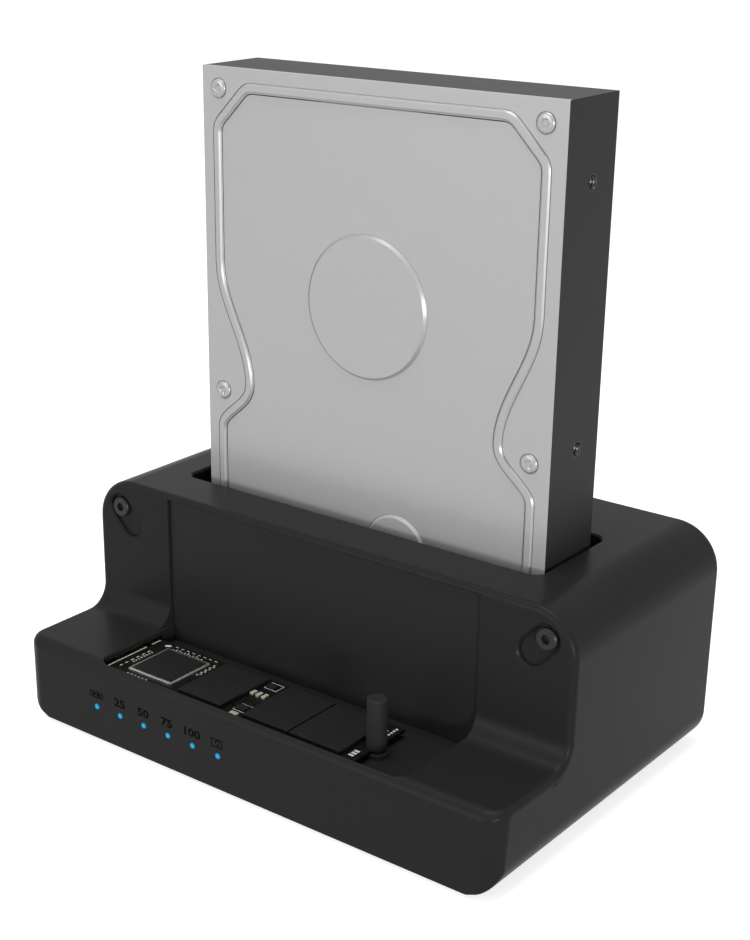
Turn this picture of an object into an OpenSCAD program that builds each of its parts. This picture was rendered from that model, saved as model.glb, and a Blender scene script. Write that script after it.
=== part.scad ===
/* Docking station for a bare 3.5 inch drive and a stick-type flash card.
   X runs to the right, Y to the rear, +Z up. The origin lies under the middle of the
   drive-and-dock box, on the table. Inside the modules, Y counts from the front face and
   Z from the bottom of the body; from_front() moves that into the final frame. */

/* [Body] */
// Width of the body
body_w = 145; // [141:0.5:152]
// Depth of the body, front to rear
body_d = 96.8; // [95.5:0.1:104]
// Height of the body without its feet
body_h = 57.3; // [54:0.1:64]
// Height of the front ledge
ledge_h = 21.3; // [20.8:0.1:22.5]
// Depth of the ledge, front face to cheeks
step_y = 28.6; // [28:0.1:30]
// Wall of the casing
wall = 2.4; // [1.8:0.1:2.8]
// Wall of the casing behind the front face
front_wall = 1.5; // [1.2:0.1:1.8]
// Radius of the body's upper side edges
top_r = 11.4; // [9:0.1:12.5]
// Radius of the body's lower side edges
bottom_r = 8.4; // [7:0.1:9]
// Fillet round the front and rear outline of the tall block
edge_r = 1.4; // [0.8:0.1:2]
// Rounding of the ledge's side edges
ledge_r = 2; // [1:0.1:3]
// Rounding of the ledge's front edge
nose_r = 3.2; // [2.2:0.1:3.6]
// Radius of the front corners, seen from above
front_corner_r = 5.5; // [4:0.1:6.5]
// Radius of the rear corners, seen from above
rear_corner_r = 2.5; // [2:0.1:4]
// Hollow fillet between ledge and cheeks
cove_r = 5.8; // [4:0.1:7]

/* [Base] */
// Thickness of the base plate
base_t = 2.1; // [1.8:0.1:2.5]
// How far the base plate stands below the body
base_drop = 0.5; // [0.3:0.1:0.8]
// How far the base plate is set in from the sides
base_inset = 4.9; // [4.2:0.1:5.5]
// Height of the feet below the body
foot_h = 1; // [0.8:0.1:2]
// Diameter of the feet
foot_d = 12; // [8:0.5:14]
// Depth of the seats that hold the feet
foot_seat = 1; // [0.6:0.1:1.2]

/* [Pocket and card] */
// Half width of the recessed middle panel
panel_half = 47.5; // [46.8:0.1:48.5]
// How far the middle panel lies behind the cheeks
panel_recess = 0.8; // [0.3:0.1:1.4]
// Half width of the pocket
pocket_half = 46.9; // [46:0.1:47.2]
// Height of the pocket floor
pocket_z = 16.7; // [16.4:0.1:17]
// Thickness of the pocket floor
tray_t = 1.6; // [1.2:0.1:1.8]
// Length of the card
card_l = 80; // [78:0.5:80]
// Width of the card
card_w = 22; // [21:0.1:22]
// Thickness of the card's board
card_t = 0.8; // [0.6:0.1:1]
// How far the card's end reaches past the pocket's left wall, into its connector
card_reach = 1.25; // [1:0.05:1.6]
// Middle line of the card behind the front face
card_y = 13; // [12.8:0.1:13.4]
// Underside of the card
card_z = 18; // [17.9:0.05:18.1]
// Diameter of the retention pin's grip
pin_d = 4.9; // [4:0.1:6]
// Top of the retention pin
pin_top = 31.4; // [26:0.1:36]
// Diameter of the pin's shaft
pin_shaft_d = 3.1; // [2.6:0.1:3.2]

/* [Slot and drive] */
// Half width of the slot
slot_half = 53.65; // [53.3:0.05:54]
// Front edge of the slot
slot_front = 42.85; // [42.4:0.05:43.2]
// Rear edge of the slot
slot_rear = 73.15; // [72.5:0.05:75]
// Corner radius of the slot
slot_r = 3; // [2:0.1:4]
// Wall of the slot guide
guide_wall = 1.6; // [1.2:0.1:1.8]
// Width of the drive
drive_w = 101.6; // [100:0.1:102]
// Height of the drive as it stands
drive_l = 147; // [144:0.1:150]
// Thickness of the drive
drive_t = 20.2; // [19.8:0.1:20.4]
// Front of the drive behind the front face of the body
drive_y = 46.7; // [46.4:0.1:46.9]
// Gap between the drive's right side and the slot
drive_side_gap = 0.8; // [0.6:0.1:1]
// Underside of the drive
drive_z = 14.6; // [14.4:0.1:15.5]
// Thickness of the drive's cover
cover_t = 1; // [0.8:0.1:1.2]
// Height of the ridge pressed into the cover
ridge_h = 0.5; // [0.2:0.05:0.6]
// Diameter of the threaded holes in the drive's side
side_hole_d = 3.4; // [2.8:0.1:3.6]
// Spacing of the threaded holes in the drive's side
side_hole_step = 60; // [58:0.1:62]
// Distance of the side holes behind the cover's face
side_hole_y = 10.95; // [10:0.05:12]
// Outer radius of the platter
platter_r = 47.2; // [45:0.1:47.4]
// Height of the spindle above the drive's lower end
spindle_rise = 95.2; // [94.8:0.1:95.8]

/* [Lights, buttons and ports] */
// Distance between two lights
led_step = 8.12; // [6:0.01:8.4]
// Place of the first light
led_x = -46.7; // [-48:0.1:-45]
// Height of the lights
led_z = 8.95; // [8.4:0.05:9.4]
// Diameter of the light openings
led_d = 1.5; // [1:0.1:2]
// Diameter of the rear buttons
button_d = 7.6; // [6:0.1:8]
// Travel of the rear buttons
button_travel = 1.2; // [0.6:0.1:1.3]
// Height of the rear buttons
button_z = 13.5; // [13:0.1:15]
// Thread diameter of the cheek screws
cheek_screw_d = 3; // [2.5:0.1:3]
// Diameter of the small case screws
case_screw_d = 2.5; // [2:0.1:2.6]
// Diameter of the small board screws
small_screw_d = 2; // [1.6:0.1:2.1]

/* [Hidden] */
$fn = 64;

// Clearances
fit = 0.1;          // parts that are seated in each other
play = 0.1;         // outline of the insert in its opening
air = 0.3;          // parts that pass each other

// Levels of the dock, from the bottom of the body
base_top = base_t - base_drop;
board_gap = 2.9;
board_t = 1.6;
board_z = base_top + board_gap;
board_top = board_z + board_t;
guide_floor = drive_z - fit;
guide_top = body_h - wall;
ledge_under = ledge_h - wall;
tray_z = pocket_z - tray_t;
carrier_t = 1.6;
carrier_gap = 1.5;
carrier_top = tray_z - carrier_gap;
carrier_z = carrier_top - carrier_t;
panel_y = step_y + panel_recess;
insert_back = step_y + wall + fit;
insert_flange = 1.6;
panel_top = body_h - edge_r;

// Base plate and its screws
base_half = body_w / 2 - base_inset;
base_edge = 1.5;
base_corner = 4;
connector_reach = 6.2;
boss_x = max(body_w / 2 - 10.5, panel_half + card_reach + connector_reach + 4);
boss_front_y = 8;
boss_rear_y = body_d - 7.8;
boss_d = 6.5;
foot_x = body_w / 2 - 22.5;
foot_front_y = 13;
foot_rear_y = body_d - 13;

// Main board
board_half = 57.5;
board_front = 2.4;
board_rear = body_d - wall - 0.4;
board_screw_x = 53;
board_screw_ys = [22, body_d - 16.8];
board_post_d = 6;

// Slot guide, its ears and the brackets behind the cheeks
guide_screw_x = slot_half + 6.85;
guide_ears_y = [slot_front + 2.2, slot_rear - 2.2];
ear_top = guide_top - 7;
ear_t = 2.5;
cheek_x = body_w / 2 - 7.85;
cheek_z = body_h - 7.4;
cheek_slot_x = body_w / 2 - top_r;
cheek_slot_z = body_h - top_r;
cheek_recess = 1.2;
cheek_recess_r = 3.45;
cheek_pad_y = step_y + wall + 2.2;
bracket_t = 2.5;

// Card and its pin
card_x0 = -panel_half - card_reach;
card_end = card_x0 + card_l;
card_top = card_z + card_t;
lip_r = 0.3;
hinge_x = -panel_half - 0.1;
hinge_z = card_z - lip_r - 0.02;
connector_x0 = card_x0 - connector_reach;
connector_top = ledge_under + 1.3;
mouth_z0 = card_z - 0.8;
mouth_z1 = card_top + 0.6;
chip_z1 = 20;
memory_y0 = card_y - 8.7;
memory_y1 = card_y + 9.3;
grommet_d = 5.4;

// Drive
drive_x1 = slot_half - drive_side_gap;
drive_x0 = drive_x1 - drive_w;
drive_x = (drive_x0 + drive_x1) / 2;
drive_y1 = drive_y + drive_t;
drive_z1 = drive_z + drive_l;
base_y = drive_y + cover_t;
plug_x = drive_x - 20.7;
plug_y = drive_y1 - 3.5;
plug_half = 16.7;
notch_z = drive_z + 6.5;
spindle_x = drive_x - 0.95;
spindle_z = drive_z + spindle_rise;
pivot_x = drive_x + 8.85;
pivot_z = drive_z + 36.9;
cavity_r = platter_r + 0.8;
cavity_depth = 11;
cavity_back = base_y + cavity_depth;
arm_l = 52;
park_angle = 152.5;
cover_screw_in = 5;
cover_screw_xs = [drive_x0 + cover_screw_in, drive_x1 - cover_screw_in - 0.5];
cover_screw_zs = [drive_z1 - 5.1, drive_z1 - 80, drive_z + 8.4];
cover_screw_d = 2;
drive_board_z1 = drive_z + 60;
drive_board_t = 1.2;
platter_t = 1.3;
platter_y = base_y + 5.6;
arm_t = 1;
arm_y = platter_y - 2.2;
hub_r = 12.5;
shaft_d = 5;
pivot_d = 6;
run = 0.05;         // running clearance of shafts

// Rear ports and buttons
usb_x = 22;
usb_w = 8.94;
usb_h = 3.26;
dc_x = 46;
dc_z = board_top + 5.5;
dc_nose_d = 8;
power_x = -44;
start_x = -26;
rear_in = body_d - wall;

module from_front() {
    translate([0, -body_d / 2, foot_h]) children();
}

// A box given by its two corners
module block(x0, x1, y0, y1, z0, z1) {
    translate([x0, y0, z0]) cube([x1 - x0, y1 - y0, z1 - z0]);
}

module post(x, y, z0, z1, d) {
    translate([x, y, z0]) cylinder(h = z1 - z0, d = d);
}

// A round bar along Y
module bar_y(x, z, y0, y1, d) {
    translate([x, y1, z]) rotate([90, 0, 0]) cylinder(h = y1 - y0, d = d);
}

module along_x(x0, x1) {
    translate([x0, 0, 0]) rotate([90, 0, 90]) linear_extrude(x1 - x0) children();
}

module along_y(y0, y1) {
    translate([0, y1, 0]) rotate([90, 0, 0]) linear_extrude(y1 - y0) children();
}

module along_z(z0, z1) {
    translate([0, 0, z0]) linear_extrude(z1 - z0) children();
}

module both_sides() {
    children();
    mirror([1, 0, 0]) children();
}

// A flat rectangle with one radius at its lower and another at its upper corners
module arch(half, v0, v1, low_r, high_r) {
    translate([-half, v0 + low_r]) square([2 * half, v1 - v0 - low_r - high_r]);
    translate([-half + high_r, v0 + low_r]) square([2 * (half - high_r), v1 - v0 - low_r]);
    translate([-half + low_r, v0]) square([2 * (half - low_r), v1 - v0 - high_r]);
    for (s = [-1, 1]) {
        translate([s * (half - high_r), v1 - high_r]) circle(high_r);
        translate([s * (half - low_r), v0 + low_r]) circle(low_r);
    }
}

// A flat slot from one round end to the other; its sides lie just inside the round ends, which keeps
// the corners where they meet clean
module obround(x0, y0, x1, y1, r) {
    len = norm([x1 - x0, y1 - y0]);
    half = r - 0.02;
    translate([x0, y0]) circle(r);
    translate([x1, y1]) circle(r);
    translate([x0, y0]) rotate(atan2(y1 - y0, x1 - x0)) translate([0, -half]) square([len, 2 * half]);
}

// A screw whose head sits at z = 0 and whose shaft points up; sides = 6 for a hex socket, 0 for a cross
module screw(d, l, head_d, head_h, sides = 0) {
    difference() {
        union() {
            cylinder(h = l, d = d);
            translate([0, 0, -head_h]) cylinder(h = head_h, d = head_d);
        }
        if (sides > 0) {
            translate([0, 0, -head_h - 1]) cylinder(h = head_h * 0.6 + 1, d = head_d * 0.46, $fn = sides);
        } else {
            for (a = [0, 90])
                rotate(a) translate([-head_d * 0.32, -head_d * 0.07, -head_h - 1])
                    cube([head_d * 0.64, head_d * 0.14, head_h * 0.5 + 1]);
        }
    }
}

// Points of an arc
function arc(cx, cy, r, a0, a1, n) =
    [for (i = [0:n]) let(a = a0 + (a1 - a0) * i / n) [cx + r * cos(a), cy + r * sin(a)]];

// Cross-section of the tall block's rim, from its middle out to the rounded edge
function rim(reach, r, y0, y1) = concat([[0, y0]], arc(reach - r, y0 + r, r, -90, 0, 4),
    arc(reach - r, y1 - r, r, 0, 90, 4), [[0, y1]]);

// The tall block, rounded along its side edges and filleted all round its front and rear outline
module tall_block() {
    reach = max(top_r, bottom_r);
    block(-body_w / 2 + reach, body_w / 2 - reach, step_y, body_d, bottom_r, body_h - top_r);
    for (s = [-1, 1]) {
        along_z(bottom_r, body_h - top_r)
            polygon([for (p = rim(reach, edge_r, step_y, body_d)) [s * (body_w / 2 - reach + p[0]), p[1]]]);
        block_corner(s, body_w / 2 - top_r, body_h - top_r, top_r, 1);
        block_corner(s, body_w / 2 - bottom_r, bottom_r, bottom_r, -1);
    }
    block_edge(body_w / 2 - top_r, body_h - top_r, top_r, 1);
    block_edge(body_w / 2 - bottom_r, bottom_r, bottom_r, -1);
}

module block_edge(half, z, reach, up) {
    translate([0, 0, z]) along_x(-half, half)
        polygon([for (p = rim(reach, edge_r, step_y, body_d)) [p[1], up * p[0]]]);
}

module block_corner(side, x, z, reach, up) {
    translate([side * x, 0, z]) mirror([side < 0 ? 1 : 0, 0, 0]) mirror([0, 0, up < 0 ? 1 : 0])
        rotate([90, 0, 0]) rotate_extrude(angle = 90)
            polygon([for (p = rim(reach, edge_r, step_y, body_d)) [p[0], -p[1]]]);
}

// The low front part, seen from the side, with its rounded front edge
module ledge_side() {
    difference() {
        translate([0, -1]) square([step_y + 8, ledge_h + 1]);
        difference() {
            translate([-1, ledge_h - nose_r]) square([nose_r + 1, nose_r + 1]);
            translate([nose_r, ledge_h - nose_r]) circle(nose_r);
        }
    }
}

module plan() {
    arch(body_w / 2, 0, body_d, front_corner_r, rear_corner_r);
}

module outer_body() {
    intersection() {
        along_z(-1, body_h + 1) plan();
        union() {
            tall_block();
            intersection() {
                along_y(0, step_y + 8) arch(body_w / 2, 0, ledge_h, bottom_r, ledge_r);
                along_x(-body_w / 2, body_w / 2) ledge_side();
            }
            both_sides() cove();
        }
    }
}

// Hollow fillet on one side, cut off by the opening of the middle panel
module cove() {
    along_x(panel_half, body_w / 2 - edge_r)
        difference() {
            translate([step_y - cove_r, ledge_h - 1]) square([cove_r + 2, cove_r + 1]);
            translate([step_y - cove_r, ledge_h + cove_r]) circle(cove_r);
        }
}

// Space inside the casing, under the ledge and inside the tall block
module inner_space() {
    in_r = 0.6;
    intersection() {
        along_z(-2, body_h) arch(body_w / 2 - wall, front_wall, rear_in, front_corner_r - wall, rear_corner_r - 0.6);
        union() {
            along_y(0, step_y + wall + 1)
                arch(body_w / 2 - wall, wall, ledge_under, bottom_r - wall, in_r);
            along_y(step_y + wall, rear_in + 1)
                arch(body_w / 2 - wall, wall, guide_top, bottom_r - wall, top_r - wall);
        }
    }
    along_z(-2, wall + bottom_r - 2)
        arch(body_w / 2 - bottom_r - 1, 4, body_d - 4, 2, 2);
    along_z(-2, base_top + fit)
        arch(base_half + 0.2, base_edge - 0.2, body_d - base_edge + 0.2, base_corner, base_corner);
}

module pocket_plan(grow) {
    arch(pocket_half + grow, front_wall - grow, step_y + 0.9 + grow, 3, 0.2);
}

module slot_plan(grow) {
    arch(slot_half + grow, slot_front - grow, slot_rear + grow, slot_r + grow, slot_r + grow);
}

insert_bosses = [[pocket_half + 4, 6.5], [pocket_half + 4, 24], [-pocket_half - 4, 27.2]];

module upper_housing() {
    color("#2b2b2c") from_front() difference() {
        union() {
            difference() {
                outer_body();
                inner_space();
            }
            // skirt round the pocket, down to the pocket floor
            intersection() {
                along_z(pocket_z, ledge_under + 0.5) pocket_plan(wall - 0.8);
                block(-body_w / 2, body_w / 2, front_wall - 0.5, step_y + wall, 0, ledge_h);
            }
            for (p = insert_bosses) post(p[0], p[1], pocket_z, ledge_under + 0.5, 4.4);
            both_sides() {
                post(boss_x, boss_front_y, base_top + fit, ledge_under + 0.5, boss_d);
                post(boss_x, boss_rear_y, base_top + fit, guide_top - 0.5, boss_d);
                for (y = guide_ears_y) post(guide_screw_x, y, ear_top, guide_top + 0.5, boss_d - 0.5);
                along_y(step_y + wall - 0.5, cheek_pad_y)
                    obround(cheek_x, cheek_z, cheek_slot_x, cheek_slot_z, cheek_recess_r + 0.8);
            }
        }
        along_z(pocket_z - 1, body_h) pocket_plan(0);
        // opening of the middle panel
        block(-panel_half, panel_half, step_y - 1, insert_back + fit, pocket_z - 1, panel_top);
        // room for the card connector, its mouth and the card's corner
        block(connector_x0 - air, -panel_half, card_y - card_w / 2 - air, card_y + card_w / 2 + 1, pocket_z - 1,
            connector_top + 0.2);
        block(-panel_half - 0.1, -pocket_half + 3, card_y - card_w / 2 - 0.4, card_y + card_w / 2 + 0.6,
            pocket_z - 1, ledge_h - 1.3);
        along_z(guide_top - 1, body_h + 1) slot_plan(0);
        for (p = insert_bosses) post(p[0], p[1], pocket_z - 1, ledge_h - 1.1, small_screw_d);
        both_sides() {
            post(boss_x, boss_front_y, 0, base_top + 10, case_screw_d);
            post(boss_x, boss_rear_y, 0, base_top + 10, case_screw_d);
            for (y = guide_ears_y) post(guide_screw_x, y, ear_top - 1, guide_top - 0.4, case_screw_d);
            along_y(step_y - 3, step_y + cheek_recess)
                obround(cheek_x, cheek_z, cheek_slot_x, cheek_slot_z, cheek_recess_r);
            bar_y(cheek_x, cheek_z, step_y, cheek_pad_y + 1, cheek_screw_d + 0.2);
        }
        for (i = [0:5]) bar_y(led_x + i * led_step, led_z, -1, front_wall + 1, led_d + 0.1);
        along_y(rear_in - 1, body_d + 1)
            obround(usb_x - (usb_w - usb_h) / 2, board_top + usb_h / 2, usb_x + (usb_w - usb_h) / 2,
                board_top + usb_h / 2, usb_h / 2 + 0.25);
        bar_y(dc_x, dc_z, rear_in - 1, body_d + 1, dc_nose_d + 0.4);
        for (x = [power_x, start_x]) bar_y(x, button_z, rear_in - 1, body_d + 1, button_d + 0.5);
    }
}

module front_insert() {
    left = connector_x0 + 2;
    side = pocket_half + 7;
    color("#262627") from_front() difference() {
        union() {
            block(-panel_half + play, panel_half - play, panel_y, insert_back + 0.05, tray_z, panel_top - play);
            block(-panel_half - 3.5, panel_half + 3.5, insert_back, insert_back + insert_flange,
                ledge_under + 0.6, guide_top - 0.5);
            block(-panel_half + play, panel_half - play, panel_y, insert_back + insert_flange, tray_z, ledge_h);
            block(left, side, front_wall + 0.2, panel_y + 1, tray_z, pocket_z);
            for (p = carrier_bosses) post(p[0], p[1], carrier_top, tray_z + 0.5, 4.4);
        }
        // hollow behind the panel
        block(-panel_half + 4, panel_half - 4, insert_back - 0.2, insert_back + insert_flange + 1, ledge_h + 3,
            guide_top - 4);
        block(left - 1, -panel_half + 1.8, 0, card_y + card_w / 2 + 1, tray_z - 1, pocket_z + 1);
        post(card_end, card_y, tray_z - 1, pocket_z + 1, grommet_d - 1);
        for (p = insert_bosses) post(p[0], p[1], tray_z - 1, pocket_z + 1, small_screw_d + 0.1);
        for (p = carrier_bosses) post(p[0], p[1], carrier_top - 1, pocket_z - 0.6, small_screw_d);
    }
}

carrier_bosses = [[card_x0 + 14.75, card_y + 12.5], [card_end + 6.75, card_y]];

module base_plate() {
    color("#1f1f20") from_front() difference() {
        union() {
            along_z(-base_drop, base_top)
                arch(base_half, base_edge, body_d - base_edge, base_corner, base_corner);
            both_sides() for (y = board_screw_ys) post(board_screw_x, y, base_top - 0.5, board_z, board_post_d);
        }
        both_sides() {
            for (y = board_screw_ys) post(board_screw_x, y, 0.3, board_z + 1, case_screw_d);
            for (y = [boss_front_y, boss_rear_y]) {
                post(boss_x, y, -base_drop - 1, base_top + 1, case_screw_d + 0.3);
                post(boss_x, y, -base_drop - 1, base_top - 0.9, 5.8);
            }
            for (y = [foot_front_y, foot_rear_y])
                post(foot_x, y, -base_drop - 1, -base_drop + foot_seat, foot_d + 0.2);
        }
    }
}

module rubber_feet() {
    color("#111111") from_front() both_sides()
        for (y = [foot_front_y, foot_rear_y]) post(foot_x, y, -foot_h, -base_drop + foot_seat, foot_d);
}

module slot_guide() {
    color("#1b1b1c") from_front() difference() {
        union() {
            along_z(guide_floor - guide_wall, guide_top - fit) slot_plan(guide_wall);
            both_sides() {
                for (y = guide_ears_y) {
                    post(guide_screw_x, y, ear_top - fit - ear_t, ear_top - fit, 7);
                    block(slot_half, guide_screw_x, y - 3.5, y + 3.5, ear_top - fit - ear_t, ear_top - fit);
                }
                cheek_bracket();
            }
        }
        difference() {
            along_z(guide_floor, body_h) slot_plan(0);
            guide_ribs();
        }
        block(plug_x - 22, plug_x + 22, plug_y - 4.4, plug_y + 4.4, 0, guide_floor + 1);
        both_sides() {
            for (y = guide_ears_y) post(guide_screw_x, y, 0, ear_top + 1, case_screw_d + 0.3);
            bar_y(cheek_x, cheek_z, cheek_pad_y, cheek_pad_y + bracket_t + 1, cheek_screw_d);
        }
    }
}

// Ribs that centre the lower end of the drive
module guide_ribs() {
    rib_h = 15;
    rib_front = drive_y - ridge_h - air;
    for (x = [-36, 0, 36]) block(x - 1, x + 1, slot_front - 1, rib_front, guide_floor - 1, guide_floor + rib_h);
    for (y = [drive_y + 4, drive_y1 - 4])
        block(-slot_half - 1, drive_x0 - air, y - 1, y + 1, guide_floor - 1, guide_floor + rib_h);
}

module cheek_bracket() {
    y0 = cheek_pad_y + fit;
    intersection() {
        along_y(y0, slot_front + 1) arch(body_w / 2 - wall - 0.5, wall, guide_top - 0.5, bottom_r, top_r - wall - 0.5);
        union() {
            block(slot_half + 0.6, slot_half + 3.1, y0, slot_front + 1, cheek_z - 10, cheek_z + 2.5);
            block(slot_half + 0.6, body_w / 2, y0, y0 + bracket_t, cheek_z - 8, body_h);
        }
    }
}

module base_screws() {
    color("#3a3a3a") from_front() both_sides()
        for (y = [boss_front_y, boss_rear_y])
            translate([boss_x, y, base_top - 0.9]) screw(case_screw_d, 9, 5.4, 0.9);
}

module cheek_screws() {
    color("#242424") from_front() both_sides()
        translate([cheek_x, step_y + cheek_recess, cheek_z]) rotate([-90, 0, 0])
            screw(cheek_screw_d, 7.2, 5.3, cheek_recess, 6);
}

module insert_screws() {
    color("#3a3a3a") from_front()
        for (p = insert_bosses) translate([p[0], p[1], tray_z]) screw(small_screw_d, 4.6, 3.8, 1.1);
}

module guide_screws() {
    color("#3a3a3a") from_front() both_sides()
        for (y = guide_ears_y)
            translate([guide_screw_x, y, ear_top - fit - ear_t]) screw(case_screw_d, 8.5, 4.8, 1.6);
}

module board_screws() {
    color("#8c8c8c") from_front() both_sides()
        for (y = board_screw_ys)
            translate([board_screw_x, y, board_top]) mirror([0, 0, 1]) screw(case_screw_d, 5.2, 5, 1.5);
}

module carrier_screws() {
    color("#8c8c8c") from_front()
        for (p = carrier_bosses) translate([p[0], p[1], carrier_z]) screw(small_screw_d, 3.9, 3.6, 1.2);
}

module main_board() {
    color("#17421f") from_front() difference() {
        block(-board_half, board_half, board_front, board_rear, board_z, board_top);
        both_sides() for (y = board_screw_ys) post(board_screw_x, y, 0, 20, case_screw_d + 0.3);
    }
}

module board_chips() {
    color("#1a1a1a") from_front() {
        for (p = [[-20, 38, 10], [24, 40, 8], [-45, 44, 6], [40, 30, 5]])
            block(p[0] - p[2] / 2, p[0] + p[2] / 2, p[1] - p[2] / 2, p[1] + p[2] / 2, board_top, board_top + 1);
    }
}

module capacitors() {
    color("#b9b9bc") from_front()
        for (x = [8, 15.5, 23]) post(x, 78, board_top, board_top + 5.8, 6.3);
}

module inductors() {
    color("#3c3c3e") from_front()
        for (x = [34, 43]) block(x - 3.5, x + 3.5, 63, 70, board_top, board_top + 3.6);
}

module crystal() {
    color("#c9c9cb") from_front() block(-33, -28, 34, 37.2, board_top, board_top + 1.1);
}

// Host socket: a broad foot under the well and a nose that enters the drive's end
module drive_socket() {
    color("#151515") from_front() difference() {
        union() {
            block(plug_x - 21.5, plug_x + 21.5, plug_y - 4, plug_y + 4, board_top, guide_floor);
            block(plug_x - plug_half - 1.4, plug_x + plug_half + 1.4, plug_y - 2.6, plug_y + 2.6, guide_floor - 1,
                drive_z + 4.2);
        }
        for (r = tongues) block(plug_x + r[0] - 0.4, plug_x + r[1] + 0.4, plug_y - 1.3, plug_y + 1.3, guide_floor - 1.4,
            drive_z + 6);
    }
}

// Ends of the power tongue and of the signal tongue, from the plug's middle
tongues = [[-plug_half, 3.9], [6.3, plug_half]];
contact_step = 1.27;

module socket_contacts() {
    color("#d6b25a") from_front()
        for (r = tongues)
            for (x = [plug_x + r[0] + 1.3 : contact_step : plug_x + r[1] - 1])
                block(x - 0.3, x + 0.3, plug_y - 1.3, plug_y - 1, guide_floor - 1.2, drive_z + 3.6);
}

module card_carrier() {
    color("#173d20") from_front() difference() {
        block(connector_x0 - 1, 42, card_y - card_w / 2 + 0.2, card_y + 15, carrier_z, carrier_top);
        for (p = carrier_bosses) post(p[0], p[1], 0, 20, small_screw_d + 0.2);
        block(-connector_x0 - 14, 60, card_y - 20, card_y - 7, 0, 20);
    }
}

module card_connector() {
    y0 = card_y - card_w / 2;
    y1 = card_y + card_w / 2;
    color("#101010") from_front() {
        difference() {
            union() {
                block(connector_x0, hinge_x, y0, y1, carrier_top, connector_top);
                block(connector_x0, -panel_half + 1.3, y0, y1, carrier_top, mouth_z0 - 0.1);
            }
            block(card_x0 - 0.6, 0, y0 + 0.5, y1 - 0.5, mouth_z0, mouth_z1);
        }
        // round lip under the card, over which it tilts
        block(hinge_x - lip_r, hinge_x + lip_r, y0 + 0.7, y1 - 0.7, mouth_z0 - 0.5, hinge_z);
        bar_y(hinge_x, hinge_z, y0 + 0.7, y1 - 0.7, 2 * lip_r);
    }
}

module card_contacts() {
    color("#d6b25a") from_front()
        for (y = [card_y - 9.5 : 1 : card_y + 9.6])
            block(card_x0 + 0.1, hinge_x - 0.15, y - 0.15, y + 0.15, mouth_z1 - 0.25, mouth_z1);
}

module stack_header() {
    color("#101010") from_front() block(-12, 12, card_y + 9, card_y + 14, board_top, carrier_z);
}

module usb_socket() {
    z = board_top + usb_h / 2;
    half = (usb_w - usb_h) / 2;
    color("#b8b8ba") from_front() difference() {
        along_y(body_d - 8.3, body_d - 0.5) obround(usb_x - half, z, usb_x + half, z, usb_h / 2);
        along_y(body_d - 7.8, body_d) obround(usb_x - half, z, usb_x + half, z, usb_h / 2 - 0.3);
    }
}

module usb_tongue() {
    z = board_top + usb_h / 2;
    color("#151515") from_front()
        block(usb_x - 3.3, usb_x + 3.3, body_d - 7.8, body_d - 1.3, z - 0.35, z + 0.35);
}

module dc_jack() {
    color("#141414") from_front() difference() {
        union() {
            block(dc_x - 4.5, dc_x + 4.5, rear_in - 13, rear_in - 0.2, board_top, board_top + 11);
            bar_y(dc_x, dc_z, rear_in - 1, body_d - 0.5, dc_nose_d);
        }
        bar_y(dc_x, dc_z, rear_in - 9, body_d, 6.3);
    }
}

module dc_pin() {
    color("#c9c9cb") from_front() bar_y(dc_x, dc_z, rear_in - 9, body_d - 1.5, 2.1);
}

// Push switch behind a rear button: body on the board and a short plunger
module push_switch(x) {
    rest = rear_in - 0.6 - 1.2 - button_travel - 0.2;
    block(x - 3.5, x + 3.5, rest - 6, rest - 1.6, board_top, button_z + 3);
    bar_y(x, button_z, rest - 2, rest, 3.4);
}

module power_switch() {
    color("#202022") from_front() push_switch(power_x);
}

module start_switch() {
    color("#202022") from_front() push_switch(start_x);
}

// A button cap with the collar that keeps it behind the rear wall
module button_cap(x) {
    bar_y(x, button_z, rear_in - 1.8, body_d - 0.2, button_d);
    bar_y(x, button_z, rear_in - 1.8, rear_in - 0.6, button_d + 2.4);
}

module power_button() {
    color("#313133") from_front() button_cap(power_x);
}

module start_button() {
    color("#313133") from_front() button_cap(start_x);
}

led_back = front_wall + 2;

module led_board() {
    color("#17421f") from_front()
        block(led_x - 3, led_x + 5 * led_step + 3, led_back, led_back + 1, board_top, carrier_z - 0.4);
}

module leds() {
    color("#f2f2ee") from_front()
        for (i = [0:5])
            block(led_x + i * led_step - 0.8, led_x + i * led_step + 0.8, led_back - 0.8, led_back,
                led_z - 0.6, led_z + 0.6);
}

module led_lenses() {
    color("#35c8ff") from_front()
        for (i = [0:5]) {
            bar_y(led_x + i * led_step, led_z, 0, front_wall + 0.6, led_d);
            bar_y(led_x + i * led_step, led_z, front_wall, front_wall + 0.7, led_d + 0.8);
        }
}

module pin_grommet() {
    color("#232323") from_front() difference() {
        union() {
            post(card_end, card_y, pocket_z, card_z - fit, grommet_d);
            post(card_end, card_y, tray_z, pocket_z + 0.1, grommet_d - 1.1);
        }
        post(card_end, card_y, tray_z + 0.2, card_z + 1, pin_shaft_d + 0.1);
    }
}

module retention_pin() {
    edge = 0.4;
    z0 = card_top + fit;
    color("#2a2a2b") from_front() union() {
        translate([card_end, card_y, z0])
            rotate_extrude() polygon(concat([[0, 0]], [[pin_d / 2, 0]],
                arc(pin_d / 2 - edge, pin_top - z0 - edge, edge, 0, 90, 4), [[0, pin_top - z0]]));
        post(card_end, card_y, pocket_z + fit, z0 + 0.1, pin_shaft_d);
    }
}

module card_board() {
    key_y = card_y + 6.25;
    color("#26281d") from_front() difference() {
        block(card_x0, card_end, card_y - card_w / 2, card_y + card_w / 2, card_z, card_top);
        post(card_end, card_y, card_z - 1, card_top + 1, 3.5);
        block(card_x0 - 1, card_x0 + 2.4, key_y - 0.6, key_y + 0.6, card_z - 1, card_top + 1);
        for (y = [card_y - card_w / 2 - 1, card_y + card_w / 2 - 1.1])
            block(card_x0 - 1, card_x0 + 3, y, y + 2.1, card_z - 1, card_top + 1);
    }
}

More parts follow.
